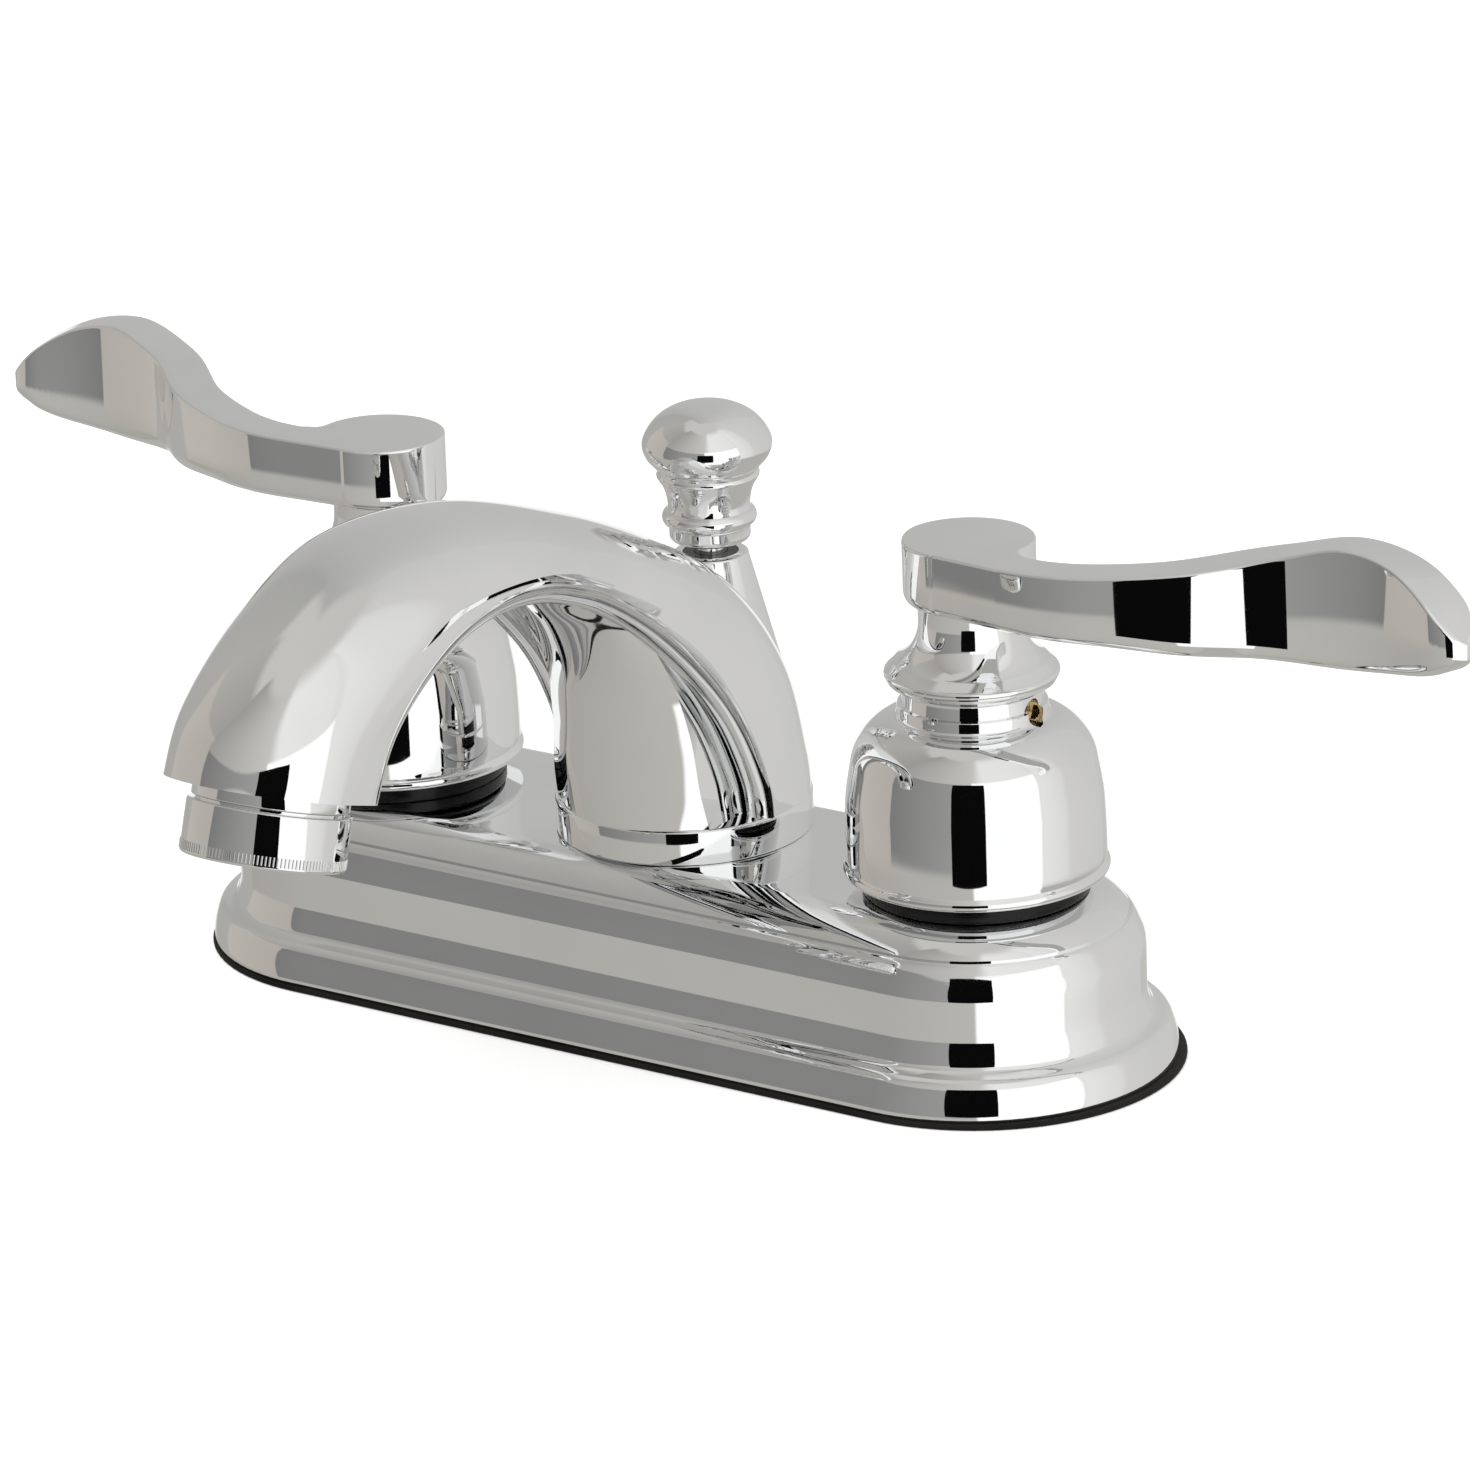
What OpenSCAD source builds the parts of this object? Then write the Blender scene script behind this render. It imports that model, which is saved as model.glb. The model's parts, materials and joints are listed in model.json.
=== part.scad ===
// Centerset bathroom faucet: a deck plate with two lever handles on 4 in centres, an arched
// cast spout with an aerator, and a lift rod for the waste behind it.
// Origin: on the sink deck, under the middle of the deck plate. +X is the cold side, -Y the basin.

/* [Deck plate] */
// Distance between the two handle axes
centres = 101.6; // [99:0.1:104]
// Half depth of the deck plate at its foot
foot_r = 28.1; // [27.6:0.1:29]
// How far the upright wall stands in from the foot
wall_in = 4.4; // [4:0.1:4.6]
// How far the edge of the upper step stands in from the wall
step_in = 2.3; // [2:0.1:2.6]
// Height of the deck plate above the sink
deck_z = 25.7; // [25.4:0.1:25.8]
// Height of the upper step
step_h = 3.4; // [3.2:0.1:3.8]
// Radius of the upper step's rounding
crown_r = 11; // [9:0.1:11.5]
// Radius of the rounded shoulder of the wall
shoulder_r = 3.4; // [3:0.1:3.6]
// Radius of the rounded edge of the foot
foot_round = 3.6; // [3.2:0.1:3.9]
// Steepness of the slope between foot and wall, in degrees
foot_slope = 55; // [50:1:60]
// Radius of the hollow between foot and wall
cove_r = 2.2; // [1.8:0.1:2.5]
// Thickness of the deck plate's metal
cover_wall = 2.2; // [1.8:0.1:2.5]

/* [Gasket] */
// Thickness of the rubber gasket
gasket_t = 0.8; // [0.6:0.1:1.6]
// How far the gasket stands out round the foot
gasket_lip = 0.7; // [0.6:0.1:1.4]
// How far the soft gasket sits towards the cold side
gasket_shift = 0.5; // [0:0.1:0.6]

/* [Spout] */
// Distance from the handle axes forward to the middle of the outlet
spout_reach = 95; // [90:0.5:100]
// Height of the middle of the outlet's joint with the aerator
outlet_z = 58.8; // [57.8:0.1:59.8]
// Forward lean of the outlet, in degrees
outlet_tilt = 18; // [17:0.5:19]
// Height of the hood's end above the outlet's joint
tip_h = 2.4; // [2:0.1:3]
// Radius of the aerator's rim
outlet_r = 11.3; // [11.1:0.1:11.8]
// How far the aerator's rim stands out from the outlet boss
rim_out = 0.5; // [0.2:0.1:0.6]
// Radius of the spout's round foot
pad_r = 18.6; // [18.4:0.1:19]
// Distance of the foot's middle behind the handle axes
pad_back = 1.2; // [0.8:0.1:1.6]
// Height of the plain round foot
pad_h = 5.2; // [4.9:0.1:5.5]
// Radius of the rolled edge along the hood at the top of the arch
roll_r = 3; // [2.8:0.1:3.1]
// Radius of the water way through the arch
way_r = 2.8; // [2.2:0.1:3]
// Radius of the water inlet in the foot
inlet_r = 6; // [5:0.1:6.5]
// Distance of the inlet in front of the handle axes
inlet_front = 5; // [4.5:0.1:6]

/* [Lift rod] */
// Distance of the lift rod behind the handle axes
rod_back = 10; // [9.9:0.05:10.4]
// Radius of the lift rod
rod_r = 2.38; // [2:0.01:2.5]
// Length of the lift rod below the sink's surface
rod_below = 60; // [40:1:120]
// Height of the rod boss on the spout
boss_top = 64.4; // [64:0.1:65]
// Radius of the rod boss at its top
boss_r = 5.4; // [5.2:0.1:6]
// How far the rod boss widens over its height
boss_flare = 4.8; // [4:0.1:5]
// Gap between the knob and the top of the boss
knob_gap = 1.8; // [1.2:0.1:3]
// Radius of the knob's head
knob_r = 9.4; // [9:0.1:10]
// Height of the knob
knob_h = 20.3; // [20:0.1:21]
// Travel of the rod when it is pulled up
rod_travel = 25; // [20:1:30]

/* [Handles] */
// Length of the lever from its axis to its tip
lever_len = 76.5; // [74:0.5:79]
// Turn of the cold side's lever towards the user at rest, in degrees
right_turn = 3; // [0:0.5:4]
// Turn of the hot side's lever away from the user at rest, in degrees
left_turn = 1; // [0:0.5:3]
// Thickness of the lever's arm
lever_t = 7; // [6:0.1:7.5]
// Radius of the lever's hub
hub_r = 9.4; // [9:0.1:9.8]
// Height of the hub's underside above the sink
hub_z = 68; // [67.6:0.1:68.4]
// Radius of the lever's stem under the hub
stem_neck_r = 7.4; // [7:0.1:7.6]
// Radius of the flared disc under the stem
disc_r = 12.4; // [12:0.1:13]
// Height of the flared disc's rim above the sink
disc_z = 57.9; // [57.7:0.1:58.2]
// Height of the joint between lever and bell
neck_z = 55.5; // [55.3:0.1:55.8]
// Radius of the bell's lower bead
bell_r = 18.9; // [18.6:0.1:19.2]
// Height of the bell's lower edge above the sink
bell_z = 27.9; // [27.8:0.05:28.1]
// Thickness of the bell's metal
bell_wall = 2; // [1.6:0.1:2.2]
// Radius of the set screw
screw_r = 1.85; // [1.7:0.05:1.9]
// Length of the set screw
screw_len = 4.2; // [3.8:0.1:4.6]
// Height of the set screw above the sink
screw_z = 53.2; // [53:0.1:53.3]
// Radius of the black ring under the bell
ring_r = 16.2; // [16:0.1:17]
// Thickness of the black ring under the bell
ring_t = 1.9; // [1.4:0.1:1.9]

/* [Valves] */
// Outer radius of the valve barrels
barrel_r = 11.4; // [11.2:0.1:11.6]
// Outer radius of the barrels' feet
barrel_foot_r = 13.6; // [13:0.1:14.5]
// Bore of the valve barrels
bore_r = 9.3; // [9:0.1:9.5]
// Height of the valve barrels' top above the sink
barrel_top = 31; // [30.5:0.1:31.5]
// Radius of the ceramic discs
ceramic_r = 7.6; // [7.2:0.1:7.7]
// Thickness of each ceramic disc
ceramic_t = 3; // [2.6:0.1:3.2]
// Radius of the valve stem
stem_r = 3.95; // [3.6:0.05:4]
// Major radius of the supply shanks' thread
shank_r = 10.45; // [10:0.05:10.6]
// Bore of the supply shanks
shank_bore = 6; // [5:0.1:6.5]
// Length of the supply shanks below the sink's surface
shank_below = 45; // [30:1:55]
// Depth of the shanks' plain neck below the sink's surface
neck_below = 2; // [1:0.5:4]
// Radius of the cross tube between the barrels
tube_r = 6.6; // [6:0.1:6.8]
// Bore of the cross tube
tube_bore = 4; // [3:0.1:4.5]

/* [Clearances] */
// Gap round a piece that is screwed or pushed in
fit = 0.05; // [0.03:0.01:0.1]
// Gap between a turning piece and a fixed one beside it
run = 0.3; // [0.2:0.05:0.4]

/* [Hidden] */
$fn = 96;
chrome = "#c9ccd0";
brass = "#b9985a";
black = "#16171a";
grey = "#8b8f94";
white = "#e8e6e0";
half = centres / 2;
far = 400;

// Heights of the stack inside a handle
seat_z = 9;
seal_t = 2;
fixed_z = seat_z + seal_t;
moving_z = fixed_z + ceramic_t + fit;
driver_z = moving_z + ceramic_t;
driver_t = 2.6;
chamber_top = driver_z + driver_t + fit;
flange_t = 2.5;
nut_top = barrel_top + flange_t + 2.5;
cartridge_top = nut_top + 4;
stem_top = 55;
nut_r = 14.9;
thread_in = 5.5;
neck_in = 0.3;
spigot_r = 6;
spigot_z = 47.5;
hub_top = 77.3;

// Points on an arc round [cx, cy] from angle a0 to a1
function arc(cx, cy, r, a0, a1, n = 8) =
    [for (i = [0 : n]) [cx + r * cos(a0 + (a1 - a0) * i / n), cy + r * sin(a0 + (a1 - a0) * i / n)]];

// Smooth curve through a list of rows, by spans of n steps, with straight run-outs at both ends
function row(list, i) =
    i < 0 ? 2 * list[0] - list[1] :
    i >= len(list) ? 2 * list[len(list) - 1] - list[len(list) - 2] : list[i];
function between(a, b, c, d, t) =
    0.5 * (2 * b + (c - a) * t + (2 * a - 5 * b + 4 * c - d) * t * t + (3 * b - a - 3 * c + d) * t * t * t);
function smooth(list, n) = concat(
    [for (i = [0 : len(list) - 2], j = [0 : n - 1])
        between(row(list, i - 1), list[i], list[i + 1], row(list, i + 2), j / n)],
    [list[len(list) - 1]]);

module at_handle(side) {
    translate([side * half, 0, 0]) children();
}

// Ring or disc with an optional hole
module ring(r_out, r_in, z0, z1) {
    difference() {
        translate([0, 0, z0]) cylinder(r = r_out, h = z1 - z0);
        if (r_in > 0) translate([0, 0, z0 - 1]) cylinder(r = r_in, h = z1 - z0 + 2);
    }
}

// Torus of section radius r round the Z axis at height z
module oring(major, r, z) {
    translate([0, 0, z]) rotate_extrude() translate([major, 0]) circle(r = r, $fn = 32);
}

// A profile in radius and height, run round both handle axes and straight between them
module stadium(points) {
    for (side = [-1, 1])
        translate([side * half, 0, 0])
            rotate_extrude(angle = 180, start = side > 0 ? -90 : 90) polygon(points);
    rotate([90, 0, 90])
        translate([0, 0, -half])
            linear_extrude(height = centres)
                polygon(concat(points, [for (i = [len(points) - 1 : -1 : 0]) [-points[i][0], points[i][1]]]));
}

// Deck plate

module deck_gasket() {
    color(black)
    difference() {
        translate([gasket_shift, 0, 0])
            stadium([[0, 0], [foot_r + gasket_lip, 0], [foot_r + gasket_lip, gasket_t], [0, gasket_t]]);
        for (side = [-1, 1])
            translate([side * half, 0, -1]) cylinder(r = shank_r + 0.45, h = gasket_t + 2);
        translate([0, rod_back, -1]) cylinder(r = rod_r + 1.2, h = gasket_t + 2);
    }
}

wall_r = foot_r - wall_in;
step_r = wall_r - step_in;
shoulder_z = deck_z - step_h - shoulder_r - 0.1;
foot_z = gasket_t + 2.2;
foot_end = foot_r - foot_round + foot_round * cos(foot_slope);
cove_end = wall_r + cove_r - cove_r * cos(foot_slope);
cove_z = foot_z + (foot_round + cove_r) * sin(foot_slope) + (foot_end - cove_end) / tan(foot_slope);
crown_z = deck_z - crown_r + 0.2;
crown_a = asin((deck_z - step_h - crown_z) / crown_r);
function plate_outside() = concat(
    [[0, gasket_t], [foot_r, gasket_t]],
    arc(foot_r - foot_round, foot_z, foot_round, 0, foot_slope, 7),
    arc(wall_r + cove_r, cove_z, cove_r, 180 + foot_slope, 180, 4),
    arc(wall_r - shoulder_r, shoulder_z, shoulder_r, 0, 58, 6),
    [[step_r, shoulder_z + shoulder_r * 0.9]],
    arc(step_r - crown_r * cos(crown_a), crown_z, crown_r, crown_a, 78, 7),
    [[0, deck_z]]);

module deck_plate() {
    color(chrome)
    difference() {
        stadium(plate_outside());
        stadium([[0, -1], [foot_r - cover_wall, -1], [foot_r - cover_wall, foot_z],
            [wall_r - cover_wall, cove_z - 0.8], [wall_r - cover_wall, shoulder_z],
            [step_r - cover_wall - 1.4, deck_z - cover_wall - 2], [step_r - cover_wall - 4, deck_z - cover_wall],
            [0, deck_z - cover_wall]]);
        for (side = [-1, 1])
            translate([side * half, 0, 0]) cylinder(r = barrel_r + run, h = deck_z + 1);
        translate([0, -inlet_front, 0]) cylinder(r = inlet_r + run, h = deck_z + 1);
        translate([0, rod_back, 0]) cylinder(r = rod_r + 0.8, h = deck_z + 1);
    }
}

// Water way

module valve_body() {
    color(brass)
    difference() {
        union() {
            for (side = [-1, 1])
                translate([side * half, 0, gasket_t]) {
                    cylinder(r = barrel_r, h = barrel_top - gasket_t);
                    cylinder(r = barrel_foot_r, h = thread_in + 1);
                }
            translate([-half, 0, tube_axis]) rotate([0, 90, 0]) cylinder(r = tube_r, h = centres);
            translate([0, -inlet_front, tube_axis - tube_r])
                cylinder(r = inlet_r + 3, h = deck_z - cover_wall - tube_axis + tube_r);
            translate([0, -inlet_front, tube_axis]) cylinder(r = inlet_r, h = nipple_top - tube_axis);
        }
        for (side = [-1, 1])
            translate([side * half, 0, 0]) {
                translate([0, 0, seat_z]) cylinder(r = bore_r, h = far);
                cylinder(r = shank_bore - 1, h = far);
                cylinder(r = shank_r - neck_in + fit, h = gasket_t + thread_in);
            }
        translate([-half, 0, tube_axis]) rotate([0, 90, 0]) cylinder(r = tube_bore, h = centres);
        translate([0, -inlet_front, tube_axis]) cylinder(r = tube_bore, h = far);
        translate([0, -inlet_front, 0]) oring(inlet_r - 0.55, 0.65, oring_z);
    }
}

tube_axis = 15.4;
nipple_top = deck_z + 7;
oring_z = deck_z + 4;

module shank(side) {
    color(brass)
    at_handle(side)
    difference() {
        union() {
            translate([0, 0, -shank_below]) cylinder(r = shank_r, h = shank_below - neck_below);
            translate([0, 0, -neck_below]) cylinder(r = shank_r - neck_in, h = neck_below + gasket_t + thread_in);
        }
        translate([0, 0, -shank_below - 1]) cylinder(r = shank_bore, h = far);
    }
}

module left_shank() { shank(-1); }
module right_shank() { shank(1); }

// Spout

reach_k = spout_reach / 95;
rise_k = (outlet_z - deck_z) / 33.1;
girth_k = pad_r / 18.6;
// Stations of the arch from the outlet to the foot, each a cut across the arch:
// crown [y, z], lower edge of the hood [y, z], half width, depth of the rounded crown,
// depth of the web or column in the middle and at its edges, size of the roll against the largest
STATIONS = [
    [-110.2, 60.5, -90.3, 53.8, 14.1, 13.0, 16.0, 15.5, 0.6],
    [-108.6, 65.5, -88.9, 58.8, 14.2, 13.6, 16.0, 15.5, 0.6],
    [-103.5, 74.0, -83.9, 67.1, 14.4, 14.0, 14.0, 13.3, 0.8],
    [ -90.4, 83.4, -75.5, 73.4, 14.9, 13.6, 12.0, 11.2, 0.95],
    [ -71.9, 90.0, -64.6, 77.0, 15.3, 11.2, 10.5,  9.5, 1],
    [ -50.0, 88.6, -52.1, 76.6, 15.6,  8.9,  9.2,  8.2, 1],
    [ -29.7, 82.0, -39.6, 72.3, 15.8, 10.6, 10.5,  9.3, 1],
    [ -11.5, 73.7, -27.6, 64.8, 16.2, 13.5, 18.5, 15.3, 0.95],
    [   4.0, 64.0, -16.7, 54.9, 16.8, 15.2, 26.0, 22.3, 0.9],
    [  14.0, 50.8,  -9.7, 45.7, 17.6, 16.0, 31.6, 27.4, 0.85],
    [  18.3, 36.6,  -5.2, 36.1, 18.05, 16.6, 35.4, 30.6, 0.8],
    [  19.3, 30.0,  -4.2, 30.0, 18.2, 17.0, 36.5, 30.6, 0.75]];
// Middle of the water way from the foot up and over the arch to the outlet: [y, z]
WATER_WAY = [[-5, 44], [-8, 56], [-20, 70], [-35, 79], [-51, 83.6], [-70, 84.5], [-86, 80], [-95, 66.5]];
boss_foot = lift(46);
arch_steps = 3;
crown_steps = 8;
roll_steps = 6;
web_steps = 5;

// Half a cut across the arch: [distance from the middle, depth below the crown]
function half_cut(w, round_d, h, web, edge, r) =
    let (inner = w - 2 * r, foot = min(edge, h - r - 0.5)) concat(
    [for (i = [0 : crown_steps]) [w * sin(90 * i / crown_steps), round_d * (1 - cos(90 * i / crown_steps))]],
    [for (i = [0 : roll_steps]) [w - r + r * cos(180 * i / roll_steps), h - r + r * sin(180 * i / roll_steps)]],
    [[inner - 0.05, foot]],
    [for (i = [web_steps : -1 : 0])
        let (t = i / web_steps) [(inner - 0.5) * t, web - (web - edge) * t * t]]);

// Round cuts along a path in the middle plane
function tube_cuts(path, r, n) =
    [for (i = [0 : len(path) - 1])
        let (a = path[max(0, i - 1)], b = path[min(len(path) - 1, i + 1)], d = (b - a) / norm(b - a))
        [for (k = [0 : n - 1])
            [r * cos(360 * k / n), reach(path[i][0] + r * sin(360 * k / n) * d[1]), lift(path[i][1] - r * sin(360 * k / n) * d[0])]]];

function mirrored(cut) = concat(cut, [for (i = [len(cut) - 2 : -1 : 1]) [-cut[i][0], cut[i][1]]]);

function placed(s) =
    let (crown = [reach(s[0]), lift(s[1])], rim = [reach(s[2]), lift(s[3])], h = norm(rim - crown),
        d = (rim - crown) / h, g = s * girth_k, r = min(roll_r * s[8], h - g[5] - 0.1))
    [for (p = mirrored(half_cut(g[4], g[5], h, g[6], g[7], r)))
        [p[0], crown[0] + p[1] * d[0], crown[1] + p[1] * d[1]]];
function reach(y) = y < 0 ? y * reach_k : y * girth_k;
function lift(z) = deck_z + (z - 25.7) * rise_k;

module loft(cuts) {
    n = len(cuts[0]);
    m = len(cuts);
    polyhedron(
        points = [for (c = cuts, p = c) p],
        faces = concat(
            [[for (j = [0 : n - 1]) j]],
            [for (i = [0 : m - 2], j = [0 : n - 1], k = [0, 1])
                let (a = i * n + j, b = i * n + (j + 1) % n)
                k == 0 ? [a, a + n, b] : [b, a + n, b + n]],
            [[for (j = [n - 1 : -1 : 0]) (m - 1) * n + j]]),
        convexity = 6);
}

// Everything that lies on the outlet's axis, with z = 0 at the joint and +Z up into the spout
module at_outlet() {
    translate([0, -spout_reach, outlet_z]) rotate([-outlet_tilt, 0, 0]) children();
}

joint_gap = 0.35;
socket_r = 10.2;
socket_d = 8;
outlet_h = 9.5;

module spout() {
    color(chrome)
    difference() {
        union() {
            difference() {
                loft([for (s = smooth(STATIONS, arch_steps)) placed(s)]);
                at_outlet() translate([-far / 2, -far / 2, tip_h - far]) cube(far);
            }
            translate([0, pad_back, deck_z]) cylinder(r = pad_r, h = pad_h);
            translate([0, rod_back, boss_foot])
                cylinder(r1 = boss_r + boss_flare, r2 = boss_r, h = boss_top - boss_foot);
            at_outlet() translate([0, 0, joint_gap]) cylinder(r = outlet_r - rim_out, h = outlet_h);
        }
        at_outlet() translate([0, 0, -1]) cylinder(r = socket_r + fit, h = socket_d + 1);
        translate([0, -inlet_front, deck_z - 1]) cylinder(r = inlet_r + fit, h = lift(45) - deck_z + 1);
        loft(tube_cuts(smooth(WATER_WAY, 2), way_r, 12));
        translate([0, rod_back, deck_z - 1]) cylinder(r = rod_r + 0.7, h = far);
        translate([0, rod_back, boss_top - bush_head]) cylinder(r = bush_r + fit, h = far);
    }
}

module spout_oring() {
    color(black)
    translate([0, -inlet_front, 0]) oring(inlet_r - 0.55, 0.55, oring_z);
}

// Aerator

aerator_h = 7.6;
aerator_wall = 1.5;
insert_r = socket_r - aerator_wall;
insert_top = 5;

module aerator_housing() {
    color(chrome)
    at_outlet()
    difference() {
        union() {
            rotate_extrude() polygon(concat([[0, -aerator_h], [outlet_r - 0.8, -aerator_h]],
                arc(outlet_r - 0.6, -aerator_h + 0.6, 0.6, 270, 360, 4), [[outlet_r, -0.3], [outlet_r - 0.3, 0], [0, 0]]));
            cylinder(r = socket_r, h = insert_top);
        }
        translate([0, 0, -aerator_h + 1.2]) cylinder(r = insert_r + fit, h = far);
        translate([0, 0, -aerator_h - 1]) cylinder(r = insert_r - 0.8, h = far);
    }
}

module aerator_insert() {
    color(white)
    at_outlet()
    difference() {
        translate([0, 0, -aerator_h + 1.2]) cylinder(r = insert_r, h = aerator_h - 1.2 + insert_top);
        translate([0, 0, -aerator_h + 3.2]) cylinder(r = insert_r - 1.2, h = far);
        for (ring_n = [0 : 3], k = [0 : max(0, 6 * ring_n - 1)])
            rotate(k * 360 / max(1, 6 * ring_n))
                translate([ring_n * 2, 0, -aerator_h]) cylinder(r = 0.7, h = 6, $fn = 16);
    }
}

module aerator_washer() {
    color(black)
    at_outlet() ring(socket_r - 0.3, insert_r - 2, insert_top, socket_d);
}

// Lift rod

bush_r = 4;
bush_head = 1.2;
knob_z = boss_top + knob_gap;

module lift_rod() {
    color(chrome)
    translate([0, rod_back, -rod_below]) cylinder(r = rod_r, h = rod_below + knob_z + 6, $fn = 48);
}

// Knob from its lower collar up: collar, bead, waisted neck, lip and domed head
function knob_outside() = concat(
    [[0, 0], [4.8, 0]],
    arc(4.9, 1, 1, 270, 360, 3),
    [[5.9, 2.2]],
    arc(5.6, 3.6, 1.25, 290, 430, 6),
    [[5.95, 5.2], [6.05, 6.6], [6.5, 8], [7.1, 9.1]],
    arc(6.8, 9.9, 0.6, 315, 405, 3),
    [[knob_r - 1.6, 11.6]],
    arc(knob_r - 2.6, 14.2, 2.6, 310, 400, 5),
    arc(0, knob_h - 16.2, 16.2, 64, 90, 6));

module lift_knob() {
    color(chrome)
    translate([0, rod_back, knob_z])
    difference() {
        rotate_extrude() polygon(knob_outside());
        translate([0, 0, -1]) cylinder(r = rod_r + fit, h = 7.1);
    }
}

module rod_bush() {
    color(black)
    translate([0, rod_back, 0])
    difference() {
        union() {
            ring(bush_r, 0, boss_top - bush_head, boss_top);
            ring(rod_r + 0.6, 0, boss_top - 9, boss_top);
        }
        cylinder(r = rod_r + 0.08, h = far);
    }
}

// Handles

// Lever seen from above: middle of the arm at distances from the axis
LEVER_PLAN = [[0, -5.75], [14, -5.85], [24, -3.9], [34, 0.9], [44, 6.9], [54, 10.5], [64, 11.3], [76.5, 8.2]];
// Lever seen from the front: its upper and lower edge at distances from the axis
LEVER_TOP = [[-12, 77.2], [0, 77.2], [11, 77.2], [28, 77.7], [38, 79], [47, 81.2], [56, 83], [65, 81.4], [72, 77.6], [77, 72.2]];
LEVER_LOW = [[-12, 67.7], [0, 67.7], [11, 67.6], [26, 67], [40, 65.8], [54, 65.2], [65, 65.9], [72, 67.6], [77, 70.9]];

// A point of the outlines above, moved for the lever's own length
usual_len = 76.5;
bend_from = 20;
function along(p) =
    [p[0] + (lever_len - usual_len) * max(0, p[0] - bend_from) / (usual_len - bend_from), p[1]];

// Width of the arm at a distance from the axis: it thins out to a round tip
function arm_w(u) = lever_t * (u > lever_len - 5 ? sqrt(max(0.02, 1 - pow((u - lever_len + 5) / 5, 2))) : 1);
function arm_side(path, s) = [for (i = [0 : len(path) - 1])
    let (a = path[max(0, i - 1)], b = path[min(len(path) - 1, i + 1)], d = (b - a) / norm(b - a))
    path[i] + s * arm_w(path[i][0]) / 2 * [-d[1], d[0]]];

module lever(side) {
    plan = smooth([for (p = LEVER_PLAN) along(p)], 6);
    top = smooth([for (p = LEVER_TOP) along(p)], 5);
    low = smooth([for (p = LEVER_LOW) along(p)], 5);
    left_edge = arm_side(plan, 1);
    right_edge = arm_side(plan, -1);
    color(chrome)
    at_handle(side)
    difference() {
        rotate([0, 0, side > 0 ? -right_turn : -left_turn]) mirror([side < 0 ? 1 : 0, 0, 0]) {
            intersection() {
                translate([0, 0, 50])
                    linear_extrude(height = 50)
                        polygon(concat(right_edge, [for (i = [len(left_edge) - 1 : -1 : 0]) left_edge[i]]));
                rotate([90, 0, 0])
                    translate([0, 0, -30])
                        linear_extrude(height = 60)
                            polygon(concat(low, [for (i = [len(top) - 1 : -1 : 0]) top[i]]));
            }
            translate([0, 0, hub_z]) cylinder(r = hub_r, h = hub_top - hub_z);
            rotate_extrude() polygon(concat(
                [[0, spigot_z], [spigot_r, spigot_z], [spigot_r, neck_z], [10.2, neck_z], [disc_r - 0.6, disc_z - 1.3]],
                arc(disc_r - 0.6, disc_z - 0.1, 0.6, 340, 440, 5),
                arc(stem_neck_r + 6.5, hub_z - 2.7, 6.5, 244, 180, 8),
                [[stem_neck_r, hub_z], [0, hub_z]]));
        }
        translate([0, 0, spigot_z - 1]) cylinder(r = stem_r + fit, h = stem_top - spigot_z + 1.5);
        translate([0, 0, screw_z]) rotate([0, side * 90, 0]) cylinder(r = screw_r + fit, h = 2 * spigot_r);
    }
}

module left_lever() { lever(-1); }
module right_lever() { lever(1); }

// Bell from its lower edge up: bead, wall, round shoulder and stepped neck
neck_r = 9.95;
bell_round = 8.1;
shoulder_in = bell_r - bell_round - 1.4;
shoulder_mid = neck_z - 11.9;
function bell_outside() = concat(
    [[bell_r - 1.5, bell_z]],
    arc(bell_r - 0.9, bell_z + 1.3, 0.9, 290, 400, 5),
    [[bell_r - 0.4, bell_z + 2.4], [bell_r - 0.45, bell_z + 6], [bell_r - 0.65, bell_z + 11.6]],
    arc(shoulder_in, shoulder_mid, bell_round, 6, 76, 9),
    [[neck_r + 1.05, neck_z - 3.9], [neck_r + 0.7, neck_z - 3.4], [neck_r + 0.7, neck_z - 2.1],
        [neck_r, neck_z - 1.8], [neck_r, neck_z]]);
function bell_inside() = concat(
    [[bell_r - 1.5 - bell_wall, bell_z - 1], [bell_r - 0.9 - bell_wall, bell_z + 2.1],
        [bell_r - 0.9 - bell_wall, bell_z + 11]],
    arc(shoulder_in, shoulder_mid, bell_round - bell_wall, 6, 84, 7),
    [[0, shoulder_mid + bell_round - bell_wall]]);

module bell(side) {
    color(chrome)
    at_handle(side)
    difference() {
        rotate_extrude() polygon(concat([[0, bell_z]], bell_outside(), [[0, neck_z]]));
        rotate_extrude() polygon(concat([[0, bell_z - 1]], bell_inside()));
        cylinder(r = spigot_r + fit, h = far);
        translate([0, 0, screw_z]) rotate([0, side * 90, 0]) cylinder(r = screw_r + fit, h = bell_r);
    }
}

module left_bell() { bell(-1); }
module right_bell() { bell(1); }

module set_screw(side) {
    color(brass)
    at_handle(side)
    translate([0, 0, screw_z]) rotate([0, side * 90, 0]) translate([0, 0, stem_r + fit])
    difference() {
        cylinder(r = screw_r, h = screw_len);
        translate([0, 0, screw_len - 2]) cylinder(r = 1.15, h = 3, $fn = 6);
    }
}

module left_set_screw() { set_screw(-1); }
module right_set_screw() { set_screw(1); }

module skirt_ring(side) {
    color(black)
    at_handle(side) ring(ring_r, barrel_r + run, deck_z, deck_z + ring_t);
}

module left_skirt_ring() { skirt_ring(-1); }
module right_skirt_ring() { skirt_ring(1); }

module bonnet_nut(side) {
    color(brass)
    at_handle(side)
    difference() {
        translate([0, 0, deck_z + ring_t + 0.6]) cylinder(r = nut_r, h = nut_top - deck_z - ring_t - 0.6, $fn = 6);
        translate([0, 0, 0]) cylinder(r = barrel_r + fit, h = barrel_top + flange_t);
        cylinder(r = 8.4 + fit, h = far);
    }
}

module left_bonnet_nut() { bonnet_nut(-1); }
module right_bonnet_nut() { bonnet_nut(1); }

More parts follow.
